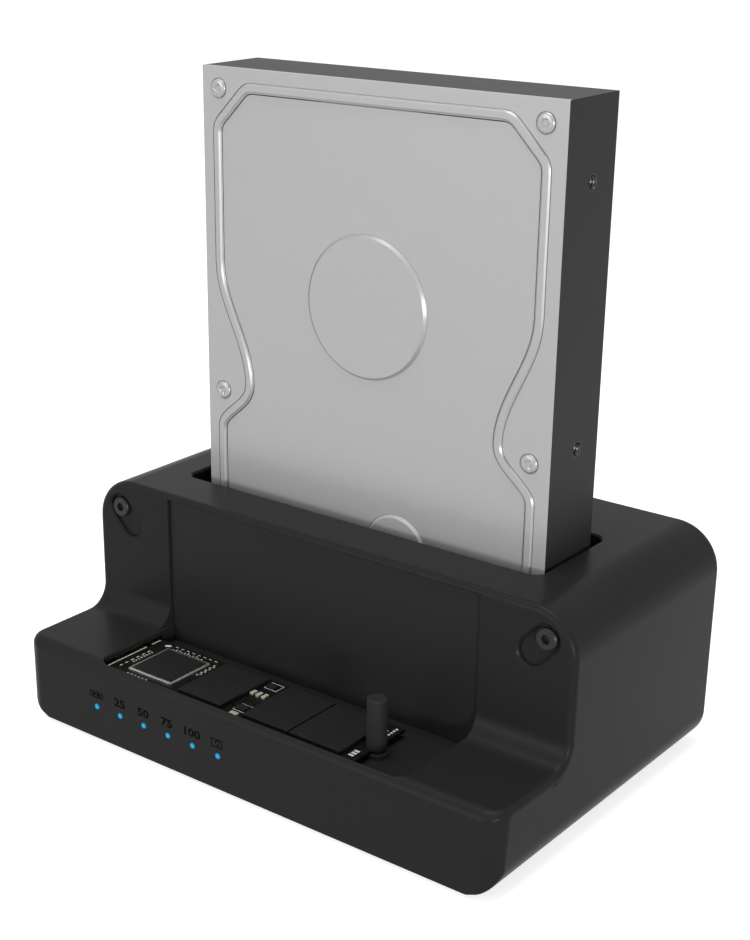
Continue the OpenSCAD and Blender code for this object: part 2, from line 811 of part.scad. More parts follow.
module card_controller() {
    color("#202020") from_front() block(card_x0 + 8.35, card_x0 + 21.45, card_y - 6.4, card_y + 6.9, card_top, card_top + 0.7);
}

module controller_frame() {
    color("#b9b9b7") from_front() difference() {
        block(card_x0 + 7.65, card_x0 + 22.15, card_y - 7.1, card_y + 7.6, card_top, card_top + 0.5);
        block(card_x0 + 8.25, card_x0 + 21.55, card_y - 6.5, card_y + 7, card_top - 1, card_top + 2);
    }
}

module card_memory() {
    color("#1c1c1c") from_front()
        for (r = [[26.15, 39.95], [46.75, 60.65], [61.05, 75.95]])
            block(card_x0 + r[0], card_x0 + r[1], memory_y0, memory_y1, card_top, chip_z1);
}

module card_parts() {
    color("#d8cfae") from_front() translate([card_x0, card_y, 0]) {
        for (x = [40.75, 42.55, 44.35]) block(x - 0.5, x + 0.5, 1.6, 3.6, card_top, card_top + 0.6);
        block(43.15, 45.35, -9.3, -8, card_top, card_top + 0.6);
        block(40.85, 43.55, 6.6, 8.8, card_top, card_top + 0.7);
        block(42.35, 45.55, -6.4, -3.6, card_top, card_top + 0.7);
        for (y = [-8.6, -6.4, -4.4]) block(77.35, 78.75, y, y + 1, card_top, card_top + 0.3);
    }
}

module card_fingers() {
    color("#d6b25a") from_front()
        for (y = [card_y - 9.2 : 0.75 : card_y + 9.5])
            if (abs(y - card_y - 6.25) > 0.9)
                block(card_x0 + 0.1, card_x0 + 2.3, y - 0.2, y + 0.2, card_top, card_top + 0.06);
}

// Plan of the space in the drive for platter and arm
module drive_cavity(grow) {
    translate([spindle_x, spindle_z]) circle(cavity_r + grow);
    difference() {
        translate([drive_x0 + 5.7 - grow, drive_z + 10.5 - grow])
            square([drive_w - 12.6 + 2 * grow, 57 + 2 * grow]);
        for (x = cover_screw_xs)
            for (z = [cover_screw_zs[1], cover_screw_zs[2]]) translate([x, z]) circle(3.4 - grow);
    }
}

module drive_base() {
    color("#3a3a3b") from_front() difference() {
        block(drive_x0, drive_x1, base_y, drive_y1, drive_z, drive_z1);
        along_y(base_y - 1, cavity_back) drive_cavity(0);
        // groove of the gasket
        along_y(base_y - 1, base_y + 0.8) difference() {
            drive_cavity(1.1);
            drive_cavity(0.1);
        }
        // bay of the circuit board, with room for its parts
        block(drive_x0 + 3.5, drive_x1 - 3.5, drive_y1 - 2, drive_y1 + 1, notch_z, drive_board_z1 + 0.5);
        block(drive_x0 + 9, drive_x1 - 9, drive_y1 - 4.5, drive_y1, notch_z, drive_board_z1 - 6);
        // notch of the plug at the lower end
        block(plug_x - plug_half - 3, plug_x + plug_half + 3, plug_y - 3.4, drive_y1 + 1, drive_z - 1, notch_z + 2.1);
        for (z = side_hole_zs)
            for (x = [drive_x0 - 1, drive_x1 - 5])
                translate([x, drive_y + side_hole_y, z]) rotate([0, 90, 0]) cylinder(h = 6, d = side_hole_d);
        for (x = cover_screw_xs)
            for (z = cover_screw_zs) bar_y(x, z, base_y - 1, base_y + 7, cover_screw_d);
        for (p = board_screws_at) bar_y(p[0], p[1], drive_y1 - 6, drive_y1, cover_screw_d);
        bar_y(spindle_x, spindle_z, cavity_back - 1, cavity_back + 3, shaft_d);
        bar_y(pivot_x, pivot_z, cavity_back - 1, cavity_back + 3, pivot_d);
    }
}

side_hole_z = drive_z + 68.7;
side_hole_zs = [side_hole_z - 41.6, side_hole_z, side_hole_z + side_hole_step];
board_screws_at = [[drive_x0 + 7, drive_z + 14], [drive_x1 - 7, drive_z + 14],
    [drive_x0 + 7, drive_board_z1 - 3], [drive_x1 - 7, drive_board_z1 - 3]];

// Outline of the ridge on the cover, clockwise from the upper left, drawn in by d
ridge_left = drive_x0 + 3.2;
ridge_right = drive_x1 - 3.7;
ridge_in = 9.3;
ridge_top = drive_z1 - 3.3;
ridge_chamfer = 9.8;
ridge_bottom = drive_z + 3.6;
ridge_foot = 11;
function ease(t) = (1 - cos(180 * t)) / 2;
function waist(x, side, z_high, z_mid, z_low) = concat(
    [for (i = [0:8]) [x - side * ridge_in * ease(i / 8), z_high + (z_mid - z_high) * i / 8]],
    [for (i = [1:5]) [x - side * ridge_in * (1 - i / 5), z_mid + (z_low - z_mid) * i / 5]]);
function ridge_points(d) = concat(
    [[ridge_left + ridge_chamfer - d * 0.4, ridge_top - d], [ridge_right - ridge_chamfer + d * 0.4, ridge_top - d],
        [ridge_right - d, ridge_top - ridge_chamfer + d * 0.4]],
    waist(ridge_right - d, 1, cover_screw_zs[1] + 33, cover_screw_zs[1] + 2.5, cover_screw_zs[1] - 9.5),
    [[ridge_right - d, ridge_bottom + ridge_foot - d * 0.4], [ridge_right - ridge_foot + d * 0.4, ridge_bottom + d],
        [ridge_left + ridge_foot - d * 0.4, ridge_bottom + d], [ridge_left + d, ridge_bottom + ridge_foot - d * 0.4]],
    reverse(waist(ridge_left + d, -1, cover_screw_zs[1] + 33, cover_screw_zs[1] + 2.5, cover_screw_zs[1] - 9.5)),
    [[ridge_left + d, ridge_top - ridge_chamfer + d * 0.4]]);
function reverse(list) = [for (i = [len(list) - 1 : -1 : 0]) list[i]];

module drive_cover() {
    ridge_w = 2.35;
    disc_h = ridge_h + 0.1;
    color("#c2c2c3") from_front() difference() {
        union() {
            block(drive_x0, drive_x1, drive_y, base_y, drive_z, drive_z1);
            along_y(drive_y - ridge_h, drive_y + 0.2) difference() {
                polygon(ridge_points(0));
                polygon(ridge_points(ridge_w));
            }
            // raised disc over the spindle and a smaller one over the arm's pivot
            bar_y(spindle_x, spindle_z, drive_y - disc_h, drive_y + 0.2, 34.4);
            bar_y(pivot_x, pivot_z, drive_y - disc_h, drive_y + 0.2, 17.6);
        }
        for (x = cover_screw_xs)
            for (z = cover_screw_zs) bar_y(x, z, drive_y - 1, base_y + 1, cover_screw_d + 0.2);
    }
}

module cover_screws() {
    color("#cfcfd0") from_front()
        for (x = cover_screw_xs)
            for (z = cover_screw_zs)
                translate([x, drive_y, z]) rotate([-90, 0, 0]) screw(cover_screw_d, 7, 4.6, 0.65);
}

module drive_gasket() {
    color("#0e0e0e") from_front() along_y(base_y, base_y + 0.8) difference() {
        drive_cavity(1);
        drive_cavity(0.2);
    }
}

module drive_board() {
    color("#16391f") from_front() difference() {
        block(drive_x0 + 4, drive_x1 - 4, drive_y1 - 2, drive_y1 - 2 + drive_board_t, notch_z + 0.5, drive_board_z1);
        for (p = board_screws_at) bar_y(p[0], p[1], drive_y1 - 6, drive_y1, cover_screw_d + 0.2);
    }
}

module drive_board_screws() {
    color("#8c8c8c") from_front()
        for (p = board_screws_at)
            translate([p[0], drive_y1 - 2 + drive_board_t, p[1]]) rotate([90, 0, 0])
                screw(cover_screw_d, 4.5, 3.6, 0.7);
}

module drive_plug() {
    color("#111111") from_front() {
        block(plug_x - plug_half - 1.5, plug_x + plug_half + 1.5, plug_y - 3, drive_y1 - 2, notch_z - 1.6,
            notch_z + 2);
        for (r = tongues)
            block(plug_x + r[0], plug_x + r[1], plug_y - 0.6, plug_y + 0.6, drive_z + 0.4, notch_z - 1.5);
    }
}

module ring_y(x, z, y0, y1, outer_d, inner_d) {
    difference() {
        bar_y(x, z, y0, y1, outer_d);
        bar_y(x, z, y0 - 1, y1 + 1, inner_d);
    }
}

module platter() {
    color("#d9dadc") from_front()
        ring_y(spindle_x, spindle_z, platter_y, platter_y + platter_t, 2 * platter_r, 2 * hub_r);
}

module spindle_hub() {
    color("#a9a9ac") from_front() difference() {
        union() {
            bar_y(spindle_x, spindle_z, platter_y, platter_y + platter_t + 0.2, 2 * hub_r - 0.1);
            bar_y(spindle_x, spindle_z, platter_y + platter_t, cavity_back - 0.6, 2 * hub_r + 4);
        }
        bar_y(spindle_x, spindle_z, platter_y - 2, cavity_back, shaft_d + 2 * run);
    }
}

module spindle_shaft() {
    color("#c4c4c7") from_front() bar_y(spindle_x, spindle_z, platter_y - 1.2, cavity_back + 3, shaft_d);
}

module disc_clamp() {
    color("#bfc0c2") from_front() difference() {
        ring_y(spindle_x, spindle_z, platter_y - 1, platter_y, 29, shaft_d + 2);
        for (a = [0:60:300])
            bar_y(spindle_x + 9 * cos(a), spindle_z + 9 * sin(a), platter_y - 1.6, platter_y - 0.4, 2.6);
    }
}

// The arm as it rests on the ramp, off the platter
module actuator_arm() {
    tip = 5;
    color("#b5b5b8") from_front() translate([pivot_x, 0, pivot_z]) rotate([0, -park_angle, 0]) difference() {
        union() {
            bar_y(0, 0, arm_y, cavity_back - 1, 13);
            along_y(arm_y, arm_y + arm_t)
                polygon([[0, -6], [0, 6], [arm_l - tip, 2], [arm_l, 1.2], [arm_l, -1.2], [arm_l - tip, -2]]);
            along_y(arm_y + 2.6, arm_y + 5)
                polygon([[0, -5], [0, 5], [-13, 9], [-13, -9]]);
        }
        bar_y(0, 0, arm_y - 1, cavity_back, pivot_d + 2 * run);
    }
}

module pivot_post() {
    color("#8f8f92") from_front() bar_y(pivot_x, pivot_z, arm_y - 1, cavity_back + 3, pivot_d);
}

module voice_coil() {
    color("#b4692b") from_front() translate([pivot_x, 0, pivot_z]) rotate([0, -park_angle, 0])
        along_y(arm_y + 2.6, arm_y + 5) difference() {
            polygon([[-13.05, -9], [-13.05, 9], [-22.5, 12.7], [-22.5, -12.7]]);
            polygon([[-16, -5], [-16, 5], [-20, 6.5], [-20, -6.5]]);
        }
}

// Two magnet plates, in front of the coil and behind it
module voice_magnets() {
    color("#6e6e72") from_front() translate([pivot_x, 0, pivot_z]) rotate([0, -park_angle + 16, 0])
        for (y = [[arm_y + 0.6, arm_y + 2.2], [arm_y + 5.4, cavity_back]])
            along_y(y[0], y[1])
                polygon([[-13.5, -9], [-13.5, 9], [-23, 13], [-23, -13]]);
}

// Comb that lifts the arm's tip off the platter
module parking_ramp() {
    a = park_angle;
    x = pivot_x + (arm_l - 2) * cos(a);
    z = pivot_z + (arm_l - 2) * sin(a);
    color("#e4e2da") from_front()
        block(x - 2.5, x + 2.5, arm_y + arm_t + 0.3, cavity_back, z - 5.6, z + 0.2);
}

upper_housing();
front_insert();
base_plate();
rubber_feet();
slot_guide();
base_screws();
cheek_screws();
insert_screws();
guide_screws();
board_screws();
carrier_screws();
main_board();
board_chips();
capacitors();
inductors();
crystal();
drive_socket();
socket_contacts();
card_carrier();
card_connector();
card_contacts();
stack_header();
usb_socket();
usb_tongue();
dc_jack();
dc_pin();
power_switch();
start_switch();
led_board();
leds();
led_lenses();
pin_grommet();
power_button();
start_button();
retention_pin();
card_board();
card_controller();
controller_frame();
card_memory();
card_parts();
card_fingers();
drive_base();
drive_cover();
cover_screws();
drive_gasket();
drive_board();
drive_board_screws();
drive_plug();
platter();
spindle_hub();
spindle_shaft();
disc_clamp();
actuator_arm();
pivot_post();
voice_coil();
voice_magnets();
parking_ramp();
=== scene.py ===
"""Docking station with a standing drive and a flash card: finishes, fine shapes and the studio."""
import math

import bmesh
import bpy
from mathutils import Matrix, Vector


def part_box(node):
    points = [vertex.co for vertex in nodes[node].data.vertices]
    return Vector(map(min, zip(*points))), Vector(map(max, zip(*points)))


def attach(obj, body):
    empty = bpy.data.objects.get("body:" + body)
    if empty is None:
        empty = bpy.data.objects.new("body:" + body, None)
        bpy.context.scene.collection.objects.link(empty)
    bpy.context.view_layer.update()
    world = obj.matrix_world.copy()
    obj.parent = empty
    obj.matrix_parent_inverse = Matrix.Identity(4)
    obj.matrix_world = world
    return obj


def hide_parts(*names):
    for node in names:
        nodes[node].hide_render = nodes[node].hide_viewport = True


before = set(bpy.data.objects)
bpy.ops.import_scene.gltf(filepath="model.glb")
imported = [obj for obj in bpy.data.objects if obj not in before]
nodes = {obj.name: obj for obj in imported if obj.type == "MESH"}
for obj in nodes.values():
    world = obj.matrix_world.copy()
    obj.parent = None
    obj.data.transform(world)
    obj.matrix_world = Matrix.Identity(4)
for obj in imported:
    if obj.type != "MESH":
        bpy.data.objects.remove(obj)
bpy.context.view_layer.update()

# Lengths are written in millimetres. Y counts from the front face of the dock and Z from the bottom
# of its body, as on a drawing of the object; at() moves a point of the drawing into the frame.
MM = 0.001
housing_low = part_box("upper_housing")[0]
FRONT = housing_low[1] / MM
FLOOR = housing_low[2] / MM


def at(x, y, z):
    return Vector((x * MM, (y + FRONT) * MM, (z + FLOOR) * MM))


# Shader maths

class Value:
    """A socket that carries a number, with operators that add Math nodes."""

    def __init__(self, maker, socket):
        self.maker = maker
        self.socket = socket

    def math(self, operation, *others):
        return self.maker.value("ShaderNodeMath", {"operation": operation}, 0, self, *others)

    def __add__(self, other):
        return self.math("ADD", other)

    def __radd__(self, other):
        return self.math("ADD", other)

    def __mul__(self, other):
        return self.math("MULTIPLY", other)

    def __rmul__(self, other):
        return self.math("MULTIPLY", other)

    def __sub__(self, other):
        return self.math("SUBTRACT", other)

    def __rsub__(self, other):
        return (self * -1.0).math("ADD", other)

    def step(self, start, end):
        """0 below start, 1 above end, smooth between."""
        settings = {"interpolation_type": "SMOOTHSTEP", "clamp": True}
        return self.maker.value("ShaderNodeMapRange", settings, 0, self, start, end, 0.0, 1.0)


class Finish:
    """One material with a Principled shader. Constants go on the shader's own sockets."""

    def __init__(self, name, color, rough, metallic=0.0, **fixed):
        self.material = bpy.data.materials.new(name)
        self.material.use_nodes = True
        self.tree = self.material.node_tree
        self.shader = self.tree.nodes["Principled BSDF"]
        self.color = color
        self.put("Base Color", (*color, 1.0))
        self.put("Roughness", rough)
        self.put("Metallic", metallic)
        for key, value in fixed.items():
            self.put(key.replace("_", " "), value)
        self.rough = rough
        self.here = self.node("ShaderNodeTexCoord").outputs["Object"]

    def put(self, socket, value):
        self.shader.inputs[socket].default_value = value

    def node(self, kind, settings=None, *values):
        made = self.tree.nodes.new(kind)
        for key, value in (settings or {}).items():
            setattr(made, key, value)
        for socket, value in zip(made.inputs, values):
            self.link(value, socket)
        return made

    def link(self, value, socket):
        if value is None:
            return
        if isinstance(value, Value):
            value = value.socket
        if isinstance(value, bpy.types.NodeSocket):
            self.tree.links.new(value, socket)
        else:
            socket.default_value = value

    def value(self, kind, settings, output, *values):
        return Value(self, self.node(kind, settings, *values).outputs[output])

    def axis(self, name):
        return Value(self, self.node("ShaderNodeSeparateXYZ", None, self.here).outputs[name])

    def noise(self, scale, detail, stretch=(1.0, 1.0, 1.0)):
        spot = self.node("ShaderNodeMapping", {"vector_type": "POINT"}, self.here, None, None, stretch)
        settings = {"noise_dimensions": "3D"}
        made = self.node("ShaderNodeTexNoise", settings, spot.outputs[0], None, scale, detail, 0.5)
        return Value(self, made.outputs[0])

    def cell_edges(self, scale):
        """Distance to the nearest border of a pattern of cells."""
        made = self.node("ShaderNodeTexVoronoi", {"feature": "DISTANCE_TO_EDGE"}, self.here, None, scale)
        return Value(self, made.outputs["Distance"])

    def blend(self, amount, color_a, color_b):
        made = self.node("ShaderNodeMix", {"data_type": "RGBA"})
        self.link(amount, made.inputs[0])
        for socket, color in zip((made.inputs[6], made.inputs[7]), (color_a, color_b)):
            self.link((*color, 1.0) if isinstance(color, tuple) else color, socket)
        return made.outputs[2]

    def feed(self, **inputs):
        for key, value in inputs.items():
            self.link(value, self.shader.inputs[key.replace("_", " ")])

    def bump(self, height, distance, strength):
        made = self.node("ShaderNodeBump", None, strength, distance)
        self.link(height, made.inputs["Height"])
        self.link(made.outputs[0], self.shader.inputs["Normal"])
        return self

    def mottled(self, amount, scale, rough_amount):
        """Slight cloudiness of colour and gloss, as every real surface has."""
        cloud = self.noise(scale, 4.0)
        dark = tuple(c * (1 - amount) for c in self.color)
        light = tuple(min(c * (1 + amount), 1.0) for c in self.color)
        self.feed(Base_Color=self.blend(cloud, dark, light))
        self.feed(Roughness=(cloud - 0.5) * rough_amount + self.rough)
        return self


def grained_plastic(name, level, rough, grain=0.012, scale=5200.0, specular=0.5):
    """Moulded plastic with a fine spark-eroded grain."""
    made = Finish(name, (level, level, level * 1.02), rough, Specular_IOR_Level=specular)
    made.mottled(0.05, 60.0, 0.04)
    fine = made.noise(scale, 1.0)
    coarse = made.noise(scale * 0.35, 2.0)
    return made.bump(fine * 0.6 + coarse * 0.4, grain * MM, 0.5)


def brushed_metal(name, color, rough):
    """Metal with fine parallel marks that lie flat."""
    made = Finish(name, color, rough, 1.0)
    lines = made.noise(900.0, 3.0, (1.0, 1.0, 40.0))
    made.feed(Roughness=(lines - 0.5) * 0.16 + rough)
    dark = tuple(c * 0.9 for c in color)
    made.feed(Base_Color=made.blend(lines, dark, color))
    return made.bump(lines, 0.002 * MM, 0.4)


def turned_metal(name, color, rough):
    made = Finish(name, color, rough, 1.0)
    return made.mottled(0.08, 800.0, 0.12)


def board_laminate(name, mask, copper, specular=0.5):
    """Solder mask with faint tracks under it."""
    made = Finish(name, mask, 0.35, Specular_IOR_Level=specular)
    tracks = made.cell_edges(420.0).step(0.02, 0.09)
    weave = made.noise(2400.0, 2.0)
    made.feed(Base_Color=made.blend(tracks, copper, mask))
    made.feed(Roughness=weave * 0.12 + 0.3)
    return made.bump(1.0 - tracks, 0.02 * MM, 0.5)


def moulded_chip(name, level):
    made = Finish(name, (level, level, level), 0.5, Specular_IOR_Level=0.2)
    made.mottled(0.1, 300.0, 0.1)
    return made.bump(made.noise(9000.0, 1.0), 0.004 * MM, 0.6)


def plain_plastic(name, color, rough, specular=0.5):
    made = Finish(name, color, rough, Specular_IOR_Level=specular)
    made.mottled(0.06, 200.0, 0.06)
    return made.bump(made.noise(3500.0, 2.0), 0.004 * MM, 0.4)


def soft_rubber(name, level, specular=0.3):
    made = Finish(name, (level, level, level), 0.7, Specular_IOR_Level=specular)
    made.mottled(0.15, 500.0, 0.1)
    return made.bump(made.noise(6000.0, 3.0), 0.01 * MM, 0.6)


housing_black = grained_plastic("housing_black", 0.0138, 0.33, specular=0.041)
insert_black = grained_plastic("insert_black", 0.0135, 0.36, specular=0.06)
guide_black = grained_plastic("guide_black", 0.008, 0.55, specular=0.12)
base_black = grained_plastic("base_black", 0.009, 0.6, specular=0.1)
button_black = grained_plastic("button_black", 0.02, 0.3, specular=0.2)
connector_black = plain_plastic("connector_black", (0.012, 0.012, 0.012), 0.4)
foot_rubber = soft_rubber("foot_rubber", 0.014)
pin_rubber = soft_rubber("pin_rubber", 0.0105, 0.16)
black_steel = Finish("black_steel", (0.014, 0.014, 0.014), 0.36, Specular_IOR_Level=0.2)
black_steel.mottled(0.1, 800.0, 0.1)
zinc_steel = turned_metal("zinc_steel", (0.55, 0.55, 0.56), 0.3)
green_laminate = board_laminate("green_laminate", (0.008, 0.05, 0.018), (0.02, 0.09, 0.03))
olive_laminate = board_laminate("olive_laminate", (0.005, 0.005, 0.004), (0.008, 0.0084, 0.0065), 0.08)
chip_black = moulded_chip("chip_black", 0.0065)
can_aluminium = brushed_metal("can_aluminium", (0.75, 0.75, 0.76), 0.3)
ferrite = plain_plastic("ferrite", (0.05, 0.05, 0.055), 0.6)
port_steel = brushed_metal("port_steel", (0.6, 0.6, 0.62), 0.28)
gold = turned_metal("gold", (0.78, 0.57, 0.26), 0.3)
frame_metal = turned_metal("frame_metal", (0.55, 0.55, 0.54), 0.4)
ceramic = plain_plastic("ceramic", (0.3, 0.295, 0.22), 0.4)
casting_black = grained_plastic("casting_black", 0.0115, 0.5, 0.02, 2600.0, 0.14)
cover_metal = Finish("cover_metal", (0.288, 0.288, 0.288), 0.33, 0.12, Specular_IOR_Level=0.8)
cover_metal.mottled(0.015, 120.0, 0.03)
cover_screw_metal = Finish("cover_screw_metal", (0.31, 0.31, 0.31), 0.25, 0.3)
cover_screw_metal.mottled(0.04, 800.0, 0.06)
thread_metal = turned_metal("thread_metal", (0.05, 0.05, 0.05), 0.35)
mirror_disc = turned_metal("mirror_disc", (0.82, 0.83, 0.85), 0.05)
machined = brushed_metal("machined", (0.62, 0.62, 0.63), 0.3)
copper_coil = brushed_metal("copper_coil", (0.6, 0.27, 0.12), 0.4)
magnet_steel = turned_metal("magnet_steel", (0.45, 0.45, 0.47), 0.25)
ramp_plastic = plain_plastic("ramp_plastic", (0.78, 0.76, 0.68), 0.4)
led_body = plain_plastic("led_body", (0.85, 0.85, 0.8), 0.3)
solder = plain_plastic("solder", (0.33, 0.33, 0.28), 0.35)
white_print = plain_plastic("white_print", (0.48, 0.48, 0.46), 0.5)
label_print = plain_plastic("label_print", (0.002, 0.002, 0.002), 0.8, 0.02)
light_guide = Finish("light_guide", (0.004, 0.05, 0.1), 0.3, Emission_Strength=1.0, Specular_IOR_Level=0.1)

# The light guides stand in a row, and each glows brightest in its middle
LED_STEP = 8.12
LED_FIRST = -46.7
LED_Z = 8.95
LED_CORE = (0.015, 0.42, 0.68)
LED_RIM = (0.0, 0.13, 0.3)
across = light_guide.axis("X") * (1 / (LED_STEP * MM)) - (LED_FIRST / LED_STEP - 0.5)
across = (across.math("FRACT") - 0.5) * LED_STEP
upward = light_guide.axis("Z") * (1 / MM) - (LED_Z + FLOOR)
middle_glow = 1.0 - (across * across + upward * upward).math("SQRT").step(0.1, 0.8)
light_guide.feed(Emission_Color=light_guide.blend(middle_glow, LED_RIM, LED_CORE))


FINISHES = {
    housing_black: ["upper_housing"],
    insert_black: ["front_insert"],
    guide_black: ["slot_guide"],
    base_black: ["base_plate"],
    button_black: ["power_button", "start_button"],
    connector_black: ["drive_socket", "card_connector", "stack_header", "usb_tongue", "dc_jack",
                      "power_switch", "start_switch", "drive_plug"],
    foot_rubber: ["rubber_feet", "pin_grommet", "drive_gasket"],
    pin_rubber: ["retention_pin"],
    black_steel: ["base_screws", "cheek_screws", "insert_screws", "guide_screws"],
    zinc_steel: ["board_screws", "carrier_screws", "drive_board_screws"],
    green_laminate: ["main_board", "card_carrier", "led_board", "drive_board"],
    olive_laminate: ["card_board"],
    chip_black: ["board_chips", "card_memory", "card_controller"],
    can_aluminium: ["capacitors"],
    ferrite: ["inductors"],
    port_steel: ["crystal", "usb_socket", "dc_pin"],
    gold: ["socket_contacts", "card_contacts", "card_fingers"],
    frame_metal: ["controller_frame"],
    ceramic: ["card_parts"],
    casting_black: ["drive_base"],
    cover_metal: ["drive_cover"],
    cover_screw_metal: ["cover_screws"],
    mirror_disc: ["platter"],
    machined: ["spindle_hub", "disc_clamp", "actuator_arm"],
    magnet_steel: ["spindle_shaft", "pivot_post", "voice_magnets"],
    copper_coil: ["voice_coil"],
    ramp_plastic: ["parking_ramp"],
    led_body: ["leds"],
    light_guide: ["led_lenses"],
}


def dress_cad_nodes():
    for finish, names in FINISHES.items():
        for name in names:
            for slot in nodes[name].material_slots:
                slot.link = "OBJECT"
                slot.material = finish.material


# Mesh tools. Points are millimetres of the drawing until at() places them.

SMOOTH_ANGLE = math.radians(32)
scratch = []


def ring_arc(cx, cy, r, start, end, steps):
    angles = [math.radians(start + (end - start) * i / steps) for i in range(steps + 1)]
    return [(cx + r * math.cos(a), cy + r * math.sin(a)) for a in angles]


def arch(half, low, high, low_r, high_r, steps=10):
    """A rectangle from low to high with one radius below and another above, anticlockwise."""
    return (ring_arc(-half + low_r, low + low_r, low_r, 180, 270, steps)
            + ring_arc(half - low_r, low + low_r, low_r, 270, 360, steps)
            + ring_arc(half - high_r, high - high_r, high_r, 0, 90, steps)
            + ring_arc(-half + high_r, high - high_r, high_r, 90, 180, steps))


def circle(cx, cy, r, steps=40):
    return ring_arc(cx, cy, r, 0, 360 * (steps - 1) / steps, steps - 1)


def obround(x0, y0, x1, y1, r, steps=12):
    lean = math.degrees(math.atan2(y1 - y0, x1 - x0))
    far_end = ring_arc(x1, y1, r, lean - 90, lean + 90, steps)
    return far_end + ring_arc(x0, y0, r, lean + 90, lean + 270, steps)


def shell(rings, capped=True):
    """Closed mesh through rings of equal count: capped at both ends, or joined last to first."""
    bm = bmesh.new()
    rows = [[bm.verts.new(at(*p)) for p in ring] for ring in rings]
    following = rows[1:] if capped else rows[1:] + rows[:1]
    for low, high in zip(rows, following):
        for i in range(len(low)):
            j = (i + 1) % len(low)
            bm.faces.new((low[i], low[j], high[j], high[i]))
    if capped:
        bm.faces.new(reversed(rows[0]))
        bm.faces.new(rows[-1])
    bmesh.ops.recalc_face_normals(bm, faces=bm.faces)
    return bm


def along_z(outline, z0, z1):
    return shell([[(x, y, z) for x, y in outline] for z in (z0, z1)])


def along_y(outline, y0, y1):
    return shell([[(x, y, z) for x, z in outline] for y in (y0, y1)])


def along_x(outline, x0, x1):
    return shell([[(x, y, z) for y, z in outline] for x in (x0, x1)])


def block(x0, x1, y0, y1, z0, z1):
    return along_z([(x0, y0), (x1, y0), (x1, y1), (x0, y1)], z0, z1)


# The ends of a lathe start as needles of this radius, in millimetres, and are welded to a point
# over this distance, in metres
NEEDLE_R = 1e-4
WELD = 2e-7


def lathe_rings(profile, center, axis, steps):
    """Circles round an axis along Y or X, one for each (radius, place on the axis)."""
    rings = []
    for r, t in profile:
        flat = circle(0, 0, r, steps)
        if axis == "y":
            rings.append([(center[0] + u, t, center[1] + v) for u, v in flat])
        else:
            rings.append([(t, center[0] + u, center[1] + v) for u, v in flat])
    return rings


def turned(profile, center, steps):
    """Lathe whose profile starts and ends on the axis, at radius 0."""
    bm = shell(lathe_rings([(max(r, NEEDLE_R), t) for r, t in profile], center, "y", steps))
    bmesh.ops.remove_doubles(bm, verts=bm.verts, dist=WELD)
    bmesh.ops.recalc_face_normals(bm, faces=bm.faces)
    return bm


def turned_ring(profile, center, axis="y", steps=48):
    """Lathe of a closed profile that doesn't reach the axis."""
    return shell(lathe_rings(profile, center, axis, steps), capped=False)


def together(parts):
    """One bmesh from several."""
    whole = bmesh.new()
    for part in parts:
        mesh = bpy.data.meshes.new("part")
        part.to_mesh(mesh)
        part.free()
        whole.from_mesh(mesh)
        bpy.data.meshes.remove(mesh)
    return whole


def as_object(bm):
    mesh = bpy.data.meshes.new("scratch")
    bm.to_mesh(mesh)
    bm.free()
    made = bpy.data.objects.new("scratch", mesh)
    bpy.context.scene.collection.objects.link(made)
    scratch.append(made)
    return made


def evaluated(obj):
    """The object's mesh with its modifiers applied, as a bmesh."""
    view = bpy.context.evaluated_depsgraph_get()
    view.update()
    mesh = bpy.data.meshes.new_from_object(obj.evaluated_get(view))
    bm = bmesh.new()
    bm.from_mesh(mesh)
    bpy.data.meshes.remove(mesh)
    return bm


def combined(bm, operations):
    """Apply booleans in turn: each operation is (kind, bmesh)."""
    base = as_object(bm)
    for kind, tool in operations:
        mod = base.modifiers.new("cut", "BOOLEAN")
        mod.operation = kind
        mod.solver = "EXACT"
        mod.object = as_object(tool)
    result = evaluated(base)
    clear_scratch()
    return result


def clear_scratch():
    for made in scratch:
        mesh = made.data
        bpy.data.objects.remove(made)
        bpy.data.meshes.remove(mesh)
    scratch.clear()


def sharp_edges(bm, angle):
    limit = math.radians(angle)
    return [e for e in bm.edges if len(e.link_faces) == 2 and e.calc_face_angle(0) > limit]


def middle(edge):
    """Middle of an edge in the drawing's millimetres."""
    co = (edge.verts[0].co + edge.verts[1].co) / 2 / MM
    return co.x, co.y - FRONT, co.z - FLOOR


def rounded(bm, edges, radius, steps, clamped=False):
    bmesh.ops.bevel(bm, geom=edges, offset=radius * MM, offset_type="OFFSET", segments=steps,
                    profile=0.5, affect="EDGES", clamp_overlap=clamped)


def piece(name, bm, finish, body, stands_for=()):
    mesh = bpy.data.meshes.new(name)
    bm.to_mesh(mesh)
    bm.free()
    mesh.materials.append(finish.material)
    mesh.shade_smooth()
    mesh.set_sharp_from_angle(angle=SMOOTH_ANGLE)
    made = bpy.data.objects.new(name, mesh)
    bpy.context.scene.collection.objects.link(made)
    mod = made.modifiers.new("normals", "WEIGHTED_NORMAL")
    mod.keep_sharp = True
    mod.weight = 90
    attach(made, body)
    if stands_for:
        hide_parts(*stands_for)
    return made


# Casing

